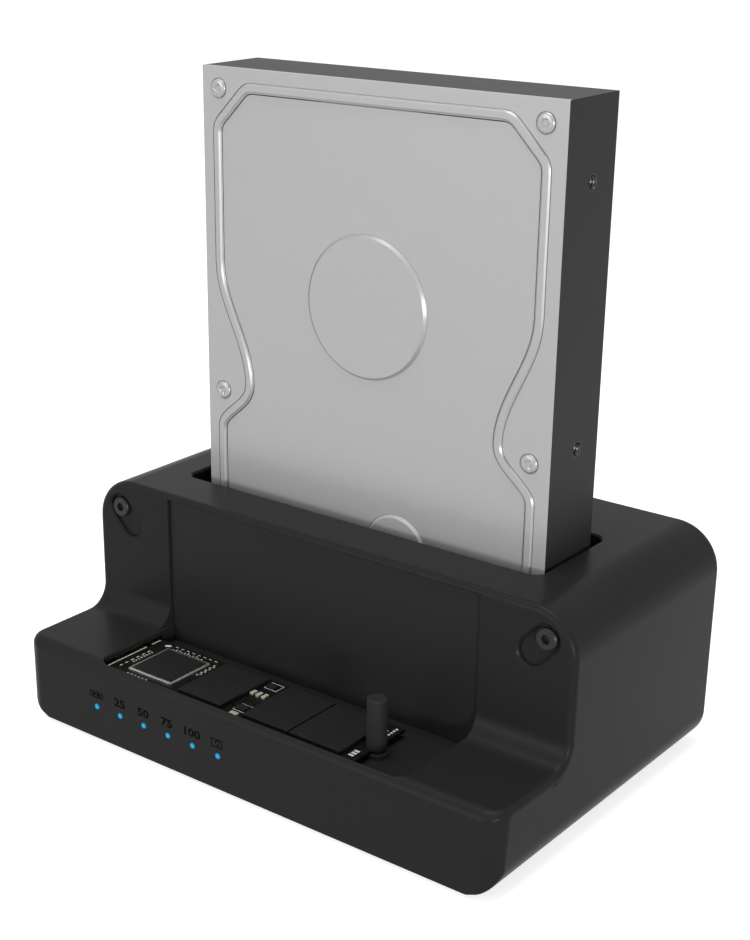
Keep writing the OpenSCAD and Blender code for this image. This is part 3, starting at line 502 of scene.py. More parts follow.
HALF_W = 72.5
DEPTH = 96.8
TOP = 57.3
LEDGE = 21.3
STEP = 28.6
WALL = 2.4
TOP_R = 11.4
BOTTOM_R = 8.4
COVE_R = 5.8
CORNER_R = 5.5
NOSE_R = 3.2
SIDE_EDGE_R = 1.7
REAR_EDGE_R = 2.2
PANEL_HALF = 47.5
POCKET_HALF = 46.9
POCKET_FLOOR = 16.7
INSERT_BACK = 31.1
SLOT_HALF, SLOT_FRONT, SLOT_REAR, SLOT_R = 53.65, 42.85, 73.15, 3.0
CHEEK = (64.65, 49.9)
CHEEK_END = (61.1, 45.9)
CHEEK_DEPTH = 1.2
LED_X = [LED_FIRST + LED_STEP * i for i in range(6)]
USB_X, DC_X, BUTTON_X, BUTTON_Z = 22.0, 46.0, (-44.0, -26.0), 13.5
BOARD_TOP = 6.1
USB_HALF, USB_LOW, USB_HIGH, USB_R = 4.72, BOARD_TOP - 0.25, BOARD_TOP + 3.51, 1.87
JACK_Z, JACK_R = BOARD_TOP + 5.5, 4.2
BUTTON_R = 4.05
LENS_R = 0.8
CHEEK_R = 3.45
CHEEK_PAD_R = 4
CHEEK_HOLE_R = 1.6
PANEL_TOP = 55.9
PANEL_FRONT = 29
POCKET_FRONT, POCKET_BACK = 1.5, 29.5
BASE_SEAT = 1.7
BASE_HALF_W, BASE_MARGIN, BASE_R = 67.8, 1.3, 4
POST_X, POST_FRONT_Y, POST_REAR_Y, POST_D = 62, 8, 89, 6.5
REAR_POST_TOP = TOP - WALL - 0.4
GUIDE_POST_X, GUIDE_POST_IN, GUIDE_POST_Z, GUIDE_POST_D = 60.5, 2.2, 47.9, 6.0
SKIRT_T = 1.6
INNER_R = 0.6
PRINT_OUT = 0.02

# Edge radius of each mouth, where the cutters of the rear wall start and end, the gap that keeps
# the faces of two tools from meeting, and how far the other posts are sunk into the wall above
POCKET_EDGE, PANEL_EDGE, SLOT_EDGE, CHEEK_EDGE = 0.25, 0.3, 0.45, 0.5
USB_EDGE, JACK_EDGE, BUTTON_EDGE, LENS_EDGE = 0.3, 0.4, 0.35, 0.12
REAR_INSIDE, REAR_OUTSIDE = 90, 99
MOUTH_STEPS = 4
APART = 0.01
BURIED = 0.4


def edge_weight(x, y, z):
    """Radius of the outline's rounding at a point of the casing, 0 where it stays sharp."""
    if z < 0.3:
        return 0.0
    if y > DEPTH - 0.4:
        return REAR_EDGE_R
    if y < CORNER_R + 0.2:
        if z < LEDGE - 1:
            return 0.6
        side = min(max((abs(x) - (HALF_W - CORNER_R)) / CORNER_R, 0), 1)
        return NOSE_R + (SIDE_EDGE_R - NOSE_R) * side
    return SIDE_EDGE_R


def near(a, b):
    """Equal to within the gap that keeps faces apart."""
    return abs(a - b) < APART


def casing_skin():
    """Outside of the casing: a stepped block with its radii, closed and solid."""
    side = [(0, 0), (DEPTH, 0), (DEPTH, TOP), (STEP, TOP), (STEP, LEDGE), (0, LEDGE)]
    bm = along_x(side, -HALF_W, HALF_W)
    for height, radius, steps in ((TOP, TOP_R, 18), (0, BOTTOM_R, 14)):
        edges = [e for e in bm.edges if near(abs(middle(e)[0]), HALF_W) and near(middle(e)[2], height)]
        rounded(bm, edges, radius, steps)
    cove = [e for e in bm.edges if near(middle(e)[1], STEP) and near(middle(e)[2], LEDGE)]
    rounded(bm, cove, COVE_R, 12)
    plan = ring_arc(HALF_W - CORNER_R, CORNER_R, CORNER_R, 270, 360, 10)
    plan += [(HALF_W, DEPTH + 5), (-HALF_W, DEPTH + 5)]
    plan += ring_arc(-HALF_W + CORNER_R, CORNER_R, CORNER_R, 180, 270, 10)
    bm = combined(bm, [("INTERSECT", along_z(plan, -5, 70))])
    bmesh.ops.remove_doubles(bm, verts=bm.verts, dist=1e-6)
    weights = bm.edges.layers.float.new("bevel_weight_edge")
    for edge in sharp_edges(bm, 25):
        edge[weights] = edge_weight(*middle(edge)) / NOSE_R
    base = as_object(bm)
    mod = base.modifiers.new("round", "BEVEL")
    mod.limit_method = "WEIGHT"
    mod.width = NOSE_R * MM
    mod.segments = 5
    mod.use_clamp_overlap = False
    result = evaluated(base)
    clear_scratch()
    return result


def stations(inside, edge, beyond, radius):
    """Places along the cutter of a rounded mouth, as pairs (place, growth of its outline)."""
    away = 1 if beyond > edge else -1
    angles = [math.radians(90 * i / MOUTH_STEPS) for i in range(MOUTH_STEPS + 1)]
    flare = [(edge - away * radius * math.cos(a), radius * (1 - math.cos(a))) for a in angles]
    return [(inside, 0.0)] + flare + [(beyond, radius)]


def mouth_y(outline, inside, edge, beyond, radius):
    """Cutter along Y whose mouth at edge is rounded; outline(grow) gives its flat shape."""
    places = stations(inside, edge, beyond, radius)
    return shell([[(x, y, z) for x, z in outline(grow)] for y, grow in places])


def mouth_z(outline, inside, edge, beyond, radius):
    """The same along Z."""
    places = stations(inside, edge, beyond, radius)
    return shell([[(x, y, z) for x, y in outline(grow)] for z, grow in places])


def boss(x, y, z0, z1, d):
    return along_z(circle(x, y, d / 2, 24), z0, z1)


def cheek_shape(side, radius):
    """The slanted obround of a cheek's recess, side 1 for the right cheek and -1 for the left."""
    return obround(side * CHEEK[0], CHEEK[1], side * CHEEK_END[0], CHEEK_END[1], radius)


def hollows():
    """Cutters for the inside of the casing and the seat of its base plate."""
    low_r = BOTTOM_R - WALL
    under_ledge = arch(HALF_W - WALL, WALL, LEDGE - WALL, low_r, INNER_R)
    behind_nose = arch(HALF_W - WALL - 3, WALL, LEDGE - WALL - 0.02, low_r, INNER_R)
    under_top = arch(HALF_W - WALL - APART, WALL - APART, TOP - WALL, low_r, TOP_R - WALL)
    floor_hole = arch(HALF_W - BOTTOM_R - 1, 4, DEPTH - 4, 2, 2)
    seat = arch(BASE_HALF_W, BASE_MARGIN, DEPTH - BASE_MARGIN, BASE_R, BASE_R)
    return [along_y(under_ledge, 3.6, STEP + WALL + 1), along_y(behind_nose, 1.5, STEP + WALL),
            along_y(under_top, STEP + WALL, DEPTH - WALL), along_z(floor_hole, -2, WALL + 1),
            along_z(seat, -2, BASE_SEAT)]


def posts():
    """Screw posts, the pads behind the cheeks and the skirt round the card's pocket."""
    skirt = arch(POCKET_HALF + SKIRT_T, INNER_R, 31, 3, 0.3)
    made = [along_z(skirt, POCKET_FLOOR, LEDGE - WALL + 0.3)]
    for s in (1, -1):
        made.append(boss(s * POST_X, POST_FRONT_Y, BASE_SEAT, LEDGE - WALL + BURIED, POST_D))
        made.append(boss(s * POST_X, POST_REAR_Y, BASE_SEAT, REAR_POST_TOP, POST_D))
        for y in (SLOT_FRONT + GUIDE_POST_IN, SLOT_REAR - GUIDE_POST_IN):
            made.append(boss(s * GUIDE_POST_X, y, GUIDE_POST_Z, TOP - WALL + BURIED, GUIDE_POST_D))
        made.append(along_y(cheek_shape(s, CHEEK_PAD_R), STEP + WALL - 0.5, STEP + WALL + 2.2))
    return made


def pocket_mouth():
    return mouth_z(lambda g: arch(POCKET_HALF + g, POCKET_FRONT - g * 0.2, POCKET_BACK, 3 + g, 0.2),
                   POCKET_FLOOR - 1, LEDGE, 30, POCKET_EDGE)


def panel_mouth():
    """The middle panel's opening; its upper edge is rounded fully and its sides less."""
    def outline(g):
        half = PANEL_HALF + g * 0.4
        low = LEDGE + 0.001
        return [(-half, low), (half, low), (half, PANEL_TOP + g), (-half, PANEL_TOP + g)]
    return mouth_y(outline, PANEL_FRONT + 0.3, STEP, 18, PANEL_EDGE)


def slot_mouth():
    return mouth_z(lambda g: arch(SLOT_HALF + g, SLOT_FRONT - g, SLOT_REAR + g, SLOT_R + g, SLOT_R + g),
                   50, TOP, 60, SLOT_EDGE)


def usb_mouth():
    """Mouth of the reversible port, drawn in the middle and moved to its place."""
    cutter = mouth_y(lambda g: arch(USB_HALF + g, USB_LOW - g, USB_HIGH + g, USB_R + g, USB_R + g),
                     REAR_INSIDE, DEPTH, REAR_OUTSIDE, USB_EDGE)
    for vertex in cutter.verts:
        vertex.co.x += USB_X * MM
    return cutter


def rear_hole(x, z, radius, edge, steps):
    return mouth_y(lambda g: circle(x, z, radius + g, steps), REAR_INSIDE, DEPTH, REAR_OUTSIDE, edge)


def casing():
    """The upper housing as a real shell with its mouths, bosses and openings."""
    bm = combined(casing_skin(), [("DIFFERENCE", tool) for tool in hollows()])
    bm = combined(bm, [("UNION", post) for post in posts()])
    panel = [(-PANEL_HALF, POCKET_FLOOR - 1), (PANEL_HALF, POCKET_FLOOR - 1), (PANEL_HALF, PANEL_TOP),
             (-PANEL_HALF, PANEL_TOP)]
    # the last two boxes clear the way that the card's connector end takes when the card tilts
    cuts = [pocket_mouth(), along_y(panel, PANEL_FRONT, INSERT_BACK + 0.2), panel_mouth(),
            slot_mouth(), usb_mouth(),
            block(-57.2, -PANEL_HALF + APART, BASE_SEAT, 25, POCKET_FLOOR - 1, 20.4),
            block(-PANEL_HALF - 0.1, -POCKET_HALF + 3, 1.6, 24.6, POCKET_FLOOR - 1, LEDGE - 1.3)]
    cuts.append(rear_hole(DC_X, JACK_Z, JACK_R, JACK_EDGE, 40))
    for x in BUTTON_X:
        cuts.append(rear_hole(x, BUTTON_Z, BUTTON_R, BUTTON_EDGE, 48))
    for x in LED_X:
        cuts.append(mouth_y(lambda g, x=x: circle(x, LED_Z, LENS_R + g, 20), 4, 0, -2, LENS_EDGE))
    for s in (1, -1):
        cuts.append(mouth_y(lambda g, s=s: cheek_shape(s, CHEEK_R + g),
                            STEP + CHEEK_DEPTH, STEP, 20, CHEEK_EDGE))
        cuts.append(along_y(circle(s * CHEEK[0], CHEEK[1], CHEEK_HOLE_R, 24), STEP, STEP + 8))
    return combined(bm, [("DIFFERENCE", tool) for tool in cuts])


def cheek_screw(side):
    """Countersunk into the cheek's recess, with a chamfered head and a hexagonal socket."""
    x, z = side * CHEEK[0], CHEEK[1]
    floor = STEP + CHEEK_DEPTH
    head = [(0, floor), (2.65, floor), (2.65, STEP + 0.35), (2.35, STEP + 0.02), (0, STEP + 0.02)]
    socket = along_y(circle(x, z, 1.25, 6), STEP - 1, STEP + 1.1)
    shaft = turned([(0, floor), (1.5, floor), (1.5, floor + 7.2), (0, floor + 7.2)], (x, z), steps=24)
    return together([combined(turned(head, (x, z), steps=40), [("DIFFERENCE", socket)]), shaft])


def add_casing():
    bm = casing()
    # the front face lies back by as much as the print stands out of it
    for vertex in bm.verts:
        if vertex.co.y < at(0, 0.001, 0).y:
            vertex.co.y += PRINT_OUT * MM
    piece("casing_shell", bm, housing_black, "dock", ["upper_housing"])
    screws = together([cheek_screw(1), cheek_screw(-1)])
    piece("cheek_screw_pair", screws, black_steel, "dock", ["cheek_screws"])


# Drive

DRIVE_X0, DRIVE_X1 = -48.75, 52.85
DRIVE_Y0 = 46.7
DRIVE_Z0, DRIVE_Z1 = 14.6, 161.6
SPINDLE = (1.1, 109.8)
PIVOT = (10.9, 51.5)
DISCS = ((SPINDLE, 17.2), (PIVOT, 8.8))
MID_SCREW_Z = 81.6
COVER_SCREWS = [(x, z) for x in (-43.75, 47.35) for z in (156.5, MID_SCREW_Z, 23.0)]
SCREW_HEAD_R = 2.25
STAR_POINTS, STAR_STEPS, STAR_DEPTH = 6, 8, 0.16
SCREW_TRACE = (2.2, 2.42)
DISC_H = 0.42
DISC_SLOPE = 0.6
GROOVE_W, GROOVE_D = 0.18, 0.32
FOOT_W, FOOT_D = 0.2, 0.31
RIDGE_H = 0.4
RIDGE_W = 2.35
RIDGE_LEFT, RIDGE_RIGHT = DRIVE_X0 + 3.2, DRIVE_X1 - 3.7
RIDGE_TOP, RIDGE_BOTTOM = DRIVE_Z1 - 3.3, DRIVE_Z0 + 3.6
RIDGE_CHAMFER, RIDGE_FOOT = 9.8, 11
RIDGE_CORNER_R, CORNER_STEPS = 2.4, 5
WAIST_IN = 9.3
WAIST_HIGH, WAIST_MID, WAIST_LOW = MID_SCREW_Z + 33, MID_SCREW_Z + 2.5, MID_SCREW_Z - 9.5
OUTER_SLOPE, INNER_SLOPE = 0.38, 0.6
SUNK = 0.24
SIDE_HOLES = (41.7, 83.3, 143.3)
SIDE_HOLE_Y = 57.65
SIDE_HOLE_DEEP = 5
THREAD_TURN = 0.7


def ease(t):
    return (1 - math.cos(math.pi * t)) / 2


def waist(x, side):
    """One side of the ridge from top to bottom, drawn in round the middle screw."""
    fall, rise = WAIST_MID - WAIST_HIGH, WAIST_LOW - WAIST_MID
    upper = [(x - side * WAIST_IN * ease(i / 10), WAIST_HIGH + fall * i / 10) for i in range(11)]
    lower = [(x - side * WAIST_IN * (1 - ease(i / 7)), WAIST_MID + rise * i / 7) for i in range(1, 8)]
    return upper + lower


def ridge_outline():
    """The ridge's outer line as a list of corners, clockwise from the upper left."""
    top = [(RIDGE_LEFT + RIDGE_CHAMFER, RIDGE_TOP), (RIDGE_RIGHT - RIDGE_CHAMFER, RIDGE_TOP),
           (RIDGE_RIGHT, RIDGE_TOP - RIDGE_CHAMFER)]
    bottom = [(RIDGE_RIGHT, RIDGE_BOTTOM + RIDGE_FOOT), (RIDGE_RIGHT - RIDGE_FOOT, RIDGE_BOTTOM),
              (RIDGE_LEFT + RIDGE_FOOT, RIDGE_BOTTOM), (RIDGE_LEFT, RIDGE_BOTTOM + RIDGE_FOOT)]
    left = waist(RIDGE_LEFT, -1)[::-1] + [(RIDGE_LEFT, RIDGE_TOP - RIDGE_CHAMFER)]
    return top + waist(RIDGE_RIGHT, 1) + bottom + left


def cornered(points, radius):
    """Closed line with its sharp corners replaced by short curves."""
    out = []
    for i, here in enumerate(points):
        before, after = Vector(points[i - 1]), Vector(points[(i + 1) % len(points)])
        here = Vector(here)
        into, away = (here - before), (after - here)
        if into.angle(away) < math.radians(14):
            out.append(tuple(here))
            continue
        reach = min(radius, into.length * 0.45, away.length * 0.45)
        start, end = here - into.normalized() * reach, here + away.normalized() * reach
        for k in range(CORNER_STEPS + 1):
            t = k / CORNER_STEPS
            out.append(tuple(start * (1 - t) ** 2 + here * 2 * t * (1 - t) + end * t * t))
    return out


def drawn_in(points, d):
    """Closed line moved to its right-hand side by d, for a line that runs clockwise."""
    out = []
    count = len(points)
    for i in range(count):
        before, here, after = (Vector(points[(i + k) % count]) for k in (-1, 0, 1))
        a, b = (here - before).normalized(), (after - here).normalized()
        na, nb = Vector((a.y, -a.x)), Vector((b.y, -b.x))
        n = (na + nb).normalized()
        out.append(tuple(here + n * (d / max(n.dot(na), 0.5))))
    return out


def groove(near_side, far_side, depth):
    """Cross-section of a groove's cutter: pairs (distance, depth below the plate's face)."""
    above = -0.2
    return [(near_side, above), (near_side, depth), (far_side, depth), (far_side, above)]


def along_line(line, profile):
    """Ring on the plate that follows a closed line, from (distance inside it, depth) pairs."""
    return shell([[(x, DRIVE_Y0 + y, z) for x, z in drawn_in(line, d)] for d, y in profile], capped=False)


def around(center, profile, steps=48):
    """The same round a centre, from (radius, depth) pairs."""
    return turned_ring([(r, DRIVE_Y0 + y) for r, y in profile], center, steps=steps)


def disc(center, r):
    """Raised disc with a sloped edge."""
    front, back = DRIVE_Y0 - DISC_H, DRIVE_Y0 + 0.4
    profile = [(0, back), (r, back), (r, DRIVE_Y0 + SUNK), (r - DISC_SLOPE, front), (r - 3, front),
               (0, front)]
    return turned(profile, center, steps=128)


def cover():
    """The cover plate: a raised ridge round a sunk field, with discs, grooves and screw holes."""
    plate = block(DRIVE_X0, DRIVE_X1, DRIVE_Y0, DRIVE_Y0 + 1, DRIVE_Z0, DRIVE_Z1)
    line = cornered(ridge_outline(), RIDGE_CORNER_R)
    field = along_y(drawn_in(line, RIDGE_W - 0.1), DRIVE_Y0 - 2, DRIVE_Y0 + SUNK)
    ridge = along_line(line, [(0, 0.4), (0, 0), (OUTER_SLOPE, -RIDGE_H), (RIDGE_W - INNER_SLOPE, -RIDGE_H),
                              (RIDGE_W, SUNK), (RIDGE_W, 0.4)])
    cutters = [along_line(line, groove(-GROOVE_W, APART, GROOVE_D)),
               along_line(line, groove(RIDGE_W - APART, RIDGE_W + FOOT_W, FOOT_D))]
    for center, r in DISCS:
        cutters.append(around(center, groove(r - APART, r + GROOVE_W, GROOVE_D), steps=128))
    for center in COVER_SCREWS:
        cutters.append(along_y(circle(*center, 1.2, 24), DRIVE_Y0 - 2, DRIVE_Y0 + 2))
        cutters.append(around(center, groove(*SCREW_TRACE, GROOVE_D)))
    tools = [("DIFFERENCE", field), ("UNION", ridge)] + [("DIFFERENCE", cutter) for cutter in cutters]
    return together([combined(plate, tools)] + [disc(*place) for place in DISCS])


def star(cx, cz, r):
    """Rounded star outline of a screw's recess."""
    total = STAR_POINTS * STAR_STEPS
    outline = []
    for i in range(total):
        turn = math.tau * i / total
        reach = r + STAR_DEPTH * math.cos(STAR_POINTS * turn)
        outline.append((cx + reach * math.cos(turn), cz + reach * math.sin(turn)))
    return outline


def cover_screw(x, z):
    """Domed head with a star recess, and its shaft."""
    dome = [(0, -0.02), (SCREW_HEAD_R, -0.02), (SCREW_HEAD_R, 0.1), (2.15, 0.3), (1.9, 0.5), (1.6, 0.6),
            (1.2, 0.64), (0, 0.64)]
    head = turned([(r, DRIVE_Y0 - rise) for r, rise in dome], (x, z), steps=40)
    recess = shell([[(u, DRIVE_Y0 - rise, v) for u, v in star(x, z, r)]
                    for rise, r in ((0.3, 0.75), (0.5, 0.9), (0.6, 1.0), (0.9, 1.2))])
    stem = [(0, 0), (1.0, 0), (1.0, 6.7), (0.7, 7), (0, 7)]
    shaft = turned([(r, DRIVE_Y0 + down) for r, down in stem], (x, z), steps=20)
    return together([combined(head, [("DIFFERENCE", recess)]), shaft])


def threads(x_mouth, away, z):
    """Screw thread in a side hole, as rings inside it; away is 1 where the hole runs to the right."""
    count = int(SIDE_HOLE_DEEP / THREAD_TURN) - 1
    steps = [(1.85, -0.015), (1.7, -0.015), (1.5, 0.35)]
    for i in range(count):
        start = 0.4 + i * THREAD_TURN
        steps += [(1.66, start), (1.36, start + THREAD_TURN * 0.45), (1.36, start + THREAD_TURN * 0.6)]
    steps += [(1.66, 0.4 + count * THREAD_TURN), (1.72, 0.5 + count * THREAD_TURN)]
    return turned_ring([(r, x_mouth + away * deep) for r, deep in steps], (SIDE_HOLE_Y, z), "x", 32)


def paint_side_shade(plate, finish):
    """Give the left and right faces at the plate's outline a second, dark finish: painted shade on the
    cover's sides.
    """
    plate.data.materials.append(finish.material)
    for face in plate.data.polygons:
        x = face.center.x / MM
        if abs(face.normal.y) < 0.3 and (x < DRIVE_X0 + 0.05 or x > DRIVE_X1 - 0.05):
            face.material_index = 1


def add_drive():
    plate = piece("drive_cover_plate", cover(), cover_metal, "drive", ["drive_cover"])
    # painted shade: the cover's left and right faces take the dark casting finish
    paint_side_shade(plate, casting_black)
    screws = together([cover_screw(*place) for place in COVER_SCREWS])
    piece("cover_screw_set", screws, cover_screw_metal, "drive", ["cover_screws"])
    rings = [threads(DRIVE_X1, -1, z) for z in SIDE_HOLES] + [threads(DRIVE_X0, 1, z) for z in SIDE_HOLES]
    piece("side_hole_threads", together(rings), thread_metal, "drive")


# Card

CARD_Y, CARD_TOP = 13.0, 18.8
MEMORY_X = ((-22.6, -8.8), (-2, 11.9), (12.3, 27.2))
MEMORY_TOP = 20.0
RING_X = -33.85
LOW_CHIP_TOP = CARD_TOP + 0.55
INK = 0.03

# Length, width and height of a ceramic part
TINY = (0.65, 0.36, 0.25)
LARGE = (1.9, 1.0, 0.6)


def chip(x0, x1, y0, y1, z0, z1, edge=0.12):
    """A moulded block with every edge rounded."""
    bm = block(x0, x1, y0, y1, z0, z1)
    rounded(bm, sharp_edges(bm, 40), edge, 2, clamped=True)
    return bm


def mark(x0, x1, y0, y1, height=INK):
    return block(x0, x1, y0, y1, CARD_TOP, CARD_TOP + height)


def mark_row(count, x0, x1, y0, y1, step_x=0, step_y=0):
    return [mark(x0 + i * step_x, x1 + i * step_x, y0 + i * step_y, y1 + i * step_y) for i in range(count)]


def framed(make, x0, x1, low, high, line):
    """Four strips round a rectangle, each from make(x0, x1, low, high)."""
    return [make(x0, x1, low, low + line), make(x0, x1, high - line, high),
            make(x0, x0 + line, low + line, high - line), make(x1 - line, x1, low + line, high - line)]


def small_part(x, y, length, width, height, along):
    """A ceramic part: its body, and a list with its two soldered ends."""
    half, thick = length / 2, width / 2
    end = length * 0.24
    start = x if along == "x" else y

    def lying(low, high, over, edge):
        """Block from low to high along the part, wider and higher than the body by over."""
        top = CARD_TOP + height + over
        if along == "x":
            return chip(low, high, y - thick - over, y + thick + over, CARD_TOP, top, edge)
        return chip(x - thick - over, x + thick + over, low, high, CARD_TOP, top, edge)

    body = lying(start - half + end, start + half - end, 0, 0.04)
    ends = [lying(start - half, start - half + end, 0.02, 0.05),
            lying(start + half - end, start + half, 0.02, 0.05)]
    return body, ends


def small_places():
    """Every ceramic part of the card: x, y, length, width, height and direction."""
    rows = [(x, 15.6, *LARGE, "y") for x in (-8.0, -6.2, -4.4)]
    rows.append((-4.5, 4.3, 2.2, 1.3, 0.6, "x"))
    rows += [(-39.8 + i * 0.95, 21.0 + (i % 3) * 0.3, *TINY, "y") for i in range(11)]
    rows += [(-43.0, 16.6 - i * 0.95, *TINY, "x") for i in range(8)]
    rows += [(-25.4 + (i % 2) * 0.45, 20.8 - i * 0.8, *TINY, "x") for i in range(9)]
    rows += [(-39.5 + i * 1.25, 4.3, *TINY, "x") for i in range(6)]
    rows += [(-20.5 + i * 1.25, 3.4, 0.8, 0.4, 0.3, "x") for i in range(5)]
    return rows


def card_print():
    """Frames, dots, bars and one obround in white."""
    marks = framed(mark, -8.25, -4.4, CARD_Y + 6.7, CARD_Y + 10.0, 0.14)
    marks += framed(mark, -6.75, -2.7, CARD_Y - 6.6, CARD_Y - 3.0, 0.14)
    dots = [(29.9, 17.3 + i * 1.06) for i in range(6)]
    dots += [(28.5, 17.6), (28.5, 18.6), (28.5, 20.6), (28.9, 2.9), (28.9, 4.0)]
    marks += [along_z(circle(x, y, 0.36, 10), CARD_TOP, CARD_TOP + INK) for x, y in dots]
    marks += mark_row(3, 28.3, 29.7, 6.0, 6.7, step_y=1.1)
    marks.append(mark(24.8, 27.6, 2.5, 2.9))
    marks += mark_row(4, -24.6, -23.1, 2.5, 2.75, step_x=3.3)
    marks += mark_row(6, -44.4, -44.1, 6.2, 7.2, step_y=2.0)
    marks += mark_row(8, -40.6, -39.7, 22.9, 23.1, step_x=1.9)
    marks.append(along_z(obround(-43.0, 22.0, -42.2, 22.4, 0.45, 6), CARD_TOP, CARD_TOP + INK))
    return marks


def controller_ring():
    """Metal frame round the controller, with its upper edge sloped inwards."""
    outer = arch(7.35, CARD_Y - 7.2, CARD_Y + 7.7, 0.7, 0.7, 4)
    inner = arch(6.6, CARD_Y - 6.45, CARD_Y + 6.95, 0.4, 0.4, 4)
    lines = ((outer, CARD_TOP), (outer, CARD_TOP + 0.42), (inner, CARD_TOP + 0.5), (inner, CARD_TOP))
    return shell([[(x + RING_X, y, z) for x, y in line] for line, z in lines], capped=False)


def add_card():
    memory = [chip(x0, x1, CARD_Y - 8.7, CARD_Y + 9.3, CARD_TOP, MEMORY_TOP, 0.15) for x0, x1 in MEMORY_X]
    piece("memory_chips", together(memory), chip_black, "card", ["card_memory"])
    controller = chip(-40.4, -27.3, CARD_Y - 6.4, CARD_Y + 6.9, CARD_TOP, CARD_TOP + 0.7)
    piece("controller_chip", controller, chip_black, "card", ["card_controller"])
    piece("controller_ring", controller_ring(), frame_metal, "card", ["controller_frame"])
    bodies, ends = [], []
    for place in small_places():
        body, tips = small_part(*place)
        bodies.append(body)
        ends += tips
    low_chips = [chip(-7.9, -5.2, CARD_Y + 6.9, CARD_Y + 9.0, CARD_TOP, LOW_CHIP_TOP, 0.06),
                 chip(-6.4, -3.4, CARD_Y - 6.3, CARD_Y - 3.8, CARD_TOP, LOW_CHIP_TOP, 0.06)]
    piece("ceramic_bodies", together(bodies), ceramic, "card", ["card_parts"])
    piece("soldered_ends", together(ends), solder, "card")
    piece("small_chips", together(low_chips), chip_black, "card")
    piece("card_marks", together(card_print()), white_print, "card")
    mask_edge = mark(-46.3, -44.9, 2.1, 23.9, 0.05)
    piece("card_mask_edge", mask_edge, olive_laminate, "card")
    line = [mark(-46.65, -46.3, 2.4, 18.2, 0.1), mark(-46.65, -46.3, 20.3, 23.4, 0.1)]
    piece("card_contact_line", together(line), white_print, "card")


# Labels

# Height of the numbers, the font's size for digits of height 1, the width added to their strokes,
# and how far they are stretched each way
DIGIT_H = 2.3
FONT_SIZE = 1.42
BOLDER = 0.09
DIGIT_SHAPE = (1.2, 0.92, 1.0)


def digits(text, x, z):
    """Printed numbers on the front face as a mesh, centred on x and z."""
    curve = bpy.data.curves.new("number", "FONT")
    curve.body = text
    curve.size = DIGIT_H * FONT_SIZE * MM
    curve.align_x = "CENTER"
    curve.align_y = "CENTER"
    curve.extrude = INK * MM / 2
    curve.offset = BOLDER * MM
    curve.resolution_u = 3
    made = bpy.data.objects.new("number", curve)
    bpy.context.scene.collection.objects.link(made)
    made.location = at(x, INK / 2, z)
    made.rotation_euler = (math.pi / 2, 0, 0)
    made.scale = DIGIT_SHAPE
    view = bpy.context.evaluated_depsgraph_get()
    view.update()
    mesh = bpy.data.meshes.new_from_object(made.evaluated_get(view))
    mesh.transform(made.matrix_world)
    bm = bmesh.new()
    bm.from_mesh(mesh)
    bpy.data.meshes.remove(mesh)
    bpy.data.objects.remove(made)
    bpy.data.curves.remove(curve)
    return bm


def front_mark(x0, x1, z0, z1):
    return block(x0, x1, 0, INK, z0, z1)


LABEL_Z = 12.3
FRAME_LINE = 0.3
NUMBERS = (("25", -38.55), ("50", -30.5), ("75", -22.55), ("100", -14.5))


def add_labels():
    parts = [digits(text, x, LABEL_Z) for text, x in NUMBERS]
    # a flash card over the first light and a drive over the last
    parts += framed(front_mark, -49.0, -44.4, LABEL_Z - 0.85, LABEL_Z + 0.85, FRAME_LINE)
    parts += [front_mark(-48.2, -47.0, LABEL_Z - 0.35, LABEL_Z + 0.35),
              front_mark(-46.6, -45.2, LABEL_Z - 0.35, LABEL_Z + 0.35)]
    parts += framed(front_mark, -8.1, -4.5, LABEL_Z - 1.15, LABEL_Z + 1.15, FRAME_LINE)
    parts += [turned_ring([(0.75, 0), (0.75, INK), (0.5, INK), (0.5, 0)], (-6.1, LABEL_Z + 0.15))]
    piece("front_labels", together(parts), label_print, "dock")


def add_pieces():
    add_casing()
    add_drive()
    add_card()
    add_labels()


# Studio

CAMERA_AZIMUTH = math.radians(39.06)
CAMERA_ELEVATION = math.radians(21.44)
CAMERA_PLACE = (236.86, -266.04, 208.22)
FOCAL_PIXELS = 1715.45
PHOTO_SIZE = (750, 940)
PRINCIPAL_POINT = (305.86, 528.99)


def add_camera():
    data = bpy.data.cameras.new("photo_camera")
    camera = bpy.data.objects.new("photo_camera", data)
    bpy.context.scene.collection.objects.link(camera)
    data.sensor_fit = "VERTICAL"
    data.sensor_height = 36.0
    data.lens = FOCAL_PIXELS / PHOTO_SIZE[1] * data.sensor_height
    data.shift_x = (PHOTO_SIZE[0] / 2 - PRINCIPAL_POINT[0]) / PHOTO_SIZE[1]
    data.shift_y = (PRINCIPAL_POINT[1] - PHOTO_SIZE[1] / 2) / PHOTO_SIZE[1]
    data.clip_start = 0.01
    camera.location = at(*CAMERA_PLACE)
    camera.rotation_euler = (math.pi / 2 - CAMERA_ELEVATION, 0.0, CAMERA_AZIMUTH)
    bpy.context.scene.camera = camera


def add_lamp(name, place, aim, size, power):
    data = bpy.data.lights.new(name, "AREA")
    data.shape = "RECTANGLE"
    data.size, data.size_y = size
    data.energy = power
    lamp = bpy.data.objects.new(name, data)
    bpy.context.scene.collection.objects.link(lamp)
    lamp.location = place
    lamp.rotation_euler = (Vector(aim) - Vector(place)).to_track_quat("-Z", "Y").to_euler()


def seen_directly(tree):
    """1 for rays from the camera, from a mirror-like surface or through glass."""
    path = tree.nodes.new("ShaderNodeLightPath")
    total = path.outputs["Is Camera Ray"]
    for name in ("Is Glossy Ray", "Is Transmission Ray"):
        join = tree.nodes.new("ShaderNodeMath")
        join.operation = "MAXIMUM"
        tree.links.new(total, join.inputs[0])
        tree.links.new(path.outputs[name], join.inputs[1])
        total = join.outputs[0]
    return total


WORLD_LEVEL = 0.6
FLOOR_SIZE = 40.0
FLOOR_COLOR = (0.5, 0.5, 0.5, 1.0)
FLOOR_LIFT = 0.76


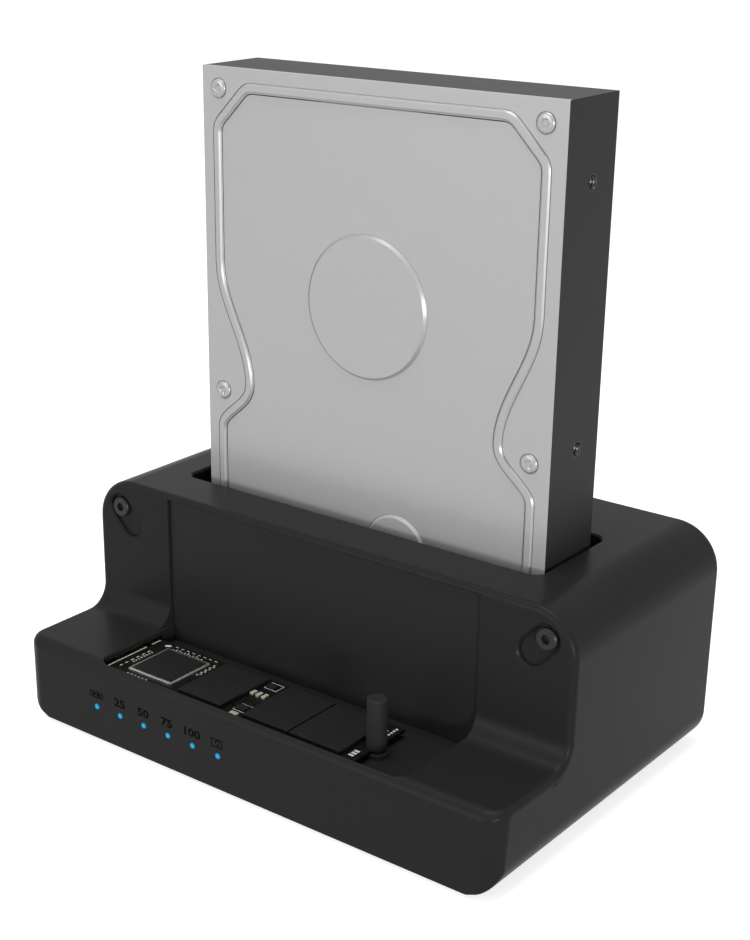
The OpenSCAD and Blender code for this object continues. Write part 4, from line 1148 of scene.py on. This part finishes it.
def add_world():
    world = bpy.data.worlds.new("studio")
    bpy.context.scene.world = world
    world.use_nodes = True
    tree = world.node_tree
    tree.nodes.clear()
    soft = tree.nodes.new("ShaderNodeBackground")
    soft.inputs["Strength"].default_value = WORLD_LEVEL
    white = tree.nodes.new("ShaderNodeBackground")
    white.inputs["Color"].default_value = (1.0, 1.0, 1.0, 1.0)
    mix = tree.nodes.new("ShaderNodeMixShader")
    out = tree.nodes.new("ShaderNodeOutputWorld")
    tree.links.new(seen_directly(tree), mix.inputs[0])
    tree.links.new(soft.outputs[0], mix.inputs[1])
    tree.links.new(white.outputs[0], mix.inputs[2])
    tree.links.new(mix.outputs[0], out.inputs[0])


def add_floor():
    mesh = bpy.data.meshes.new("studio_floor")
    half = FLOOR_SIZE / 2
    corners = [(-half, -half, 0), (half, -half, 0), (half, half, 0), (-half, half, 0)]
    mesh.from_pydata(corners, [], [(0, 1, 2, 3)])
    floor = bpy.data.objects.new("studio_floor", mesh)
    bpy.context.scene.collection.objects.link(floor)
    material = bpy.data.materials.new("studio_floor")
    material.use_nodes = True
    tree = material.node_tree
    tree.nodes.clear()
    matt = tree.nodes.new("ShaderNodeBsdfDiffuse")
    matt.inputs["Color"].default_value = FLOOR_COLOR
    lift = tree.nodes.new("ShaderNodeEmission")
    both = tree.nodes.new("ShaderNodeAddShader")
    out = tree.nodes.new("ShaderNodeOutputMaterial")
    share = tree.nodes.new("ShaderNodeMath")
    share.operation = "MULTIPLY"
    share.inputs[1].default_value = FLOOR_LIFT
    tree.links.new(seen_directly(tree), share.inputs[0])
    tree.links.new(share.outputs[0], lift.inputs["Strength"])
    tree.links.new(matt.outputs[0], both.inputs[0])
    tree.links.new(lift.outputs[0], both.inputs[1])
    tree.links.new(both.outputs[0], out.inputs[0])
    mesh.materials.append(material)


def add_studio():
    add_camera()
    add_world()
    add_floor()
    add_lamp("key", (1.35, -0.9, 0.12), (0.0, 0.0, 0.1), (0.4, 0.2), 16.0)
    add_lamp("front", (-0.5, -1.6, 0.6), (0.0, 0.0, 0.07), (1.2, 1.0), 15.0)
    add_lamp("top", (0.0, -0.12, 1.2), (0.0, -0.05, 0.06), (0.8, 0.4), 10.0)


dress_cad_nodes()
add_pieces()
add_studio()

scene = bpy.context.scene
scene.view_settings.view_transform = "Standard"
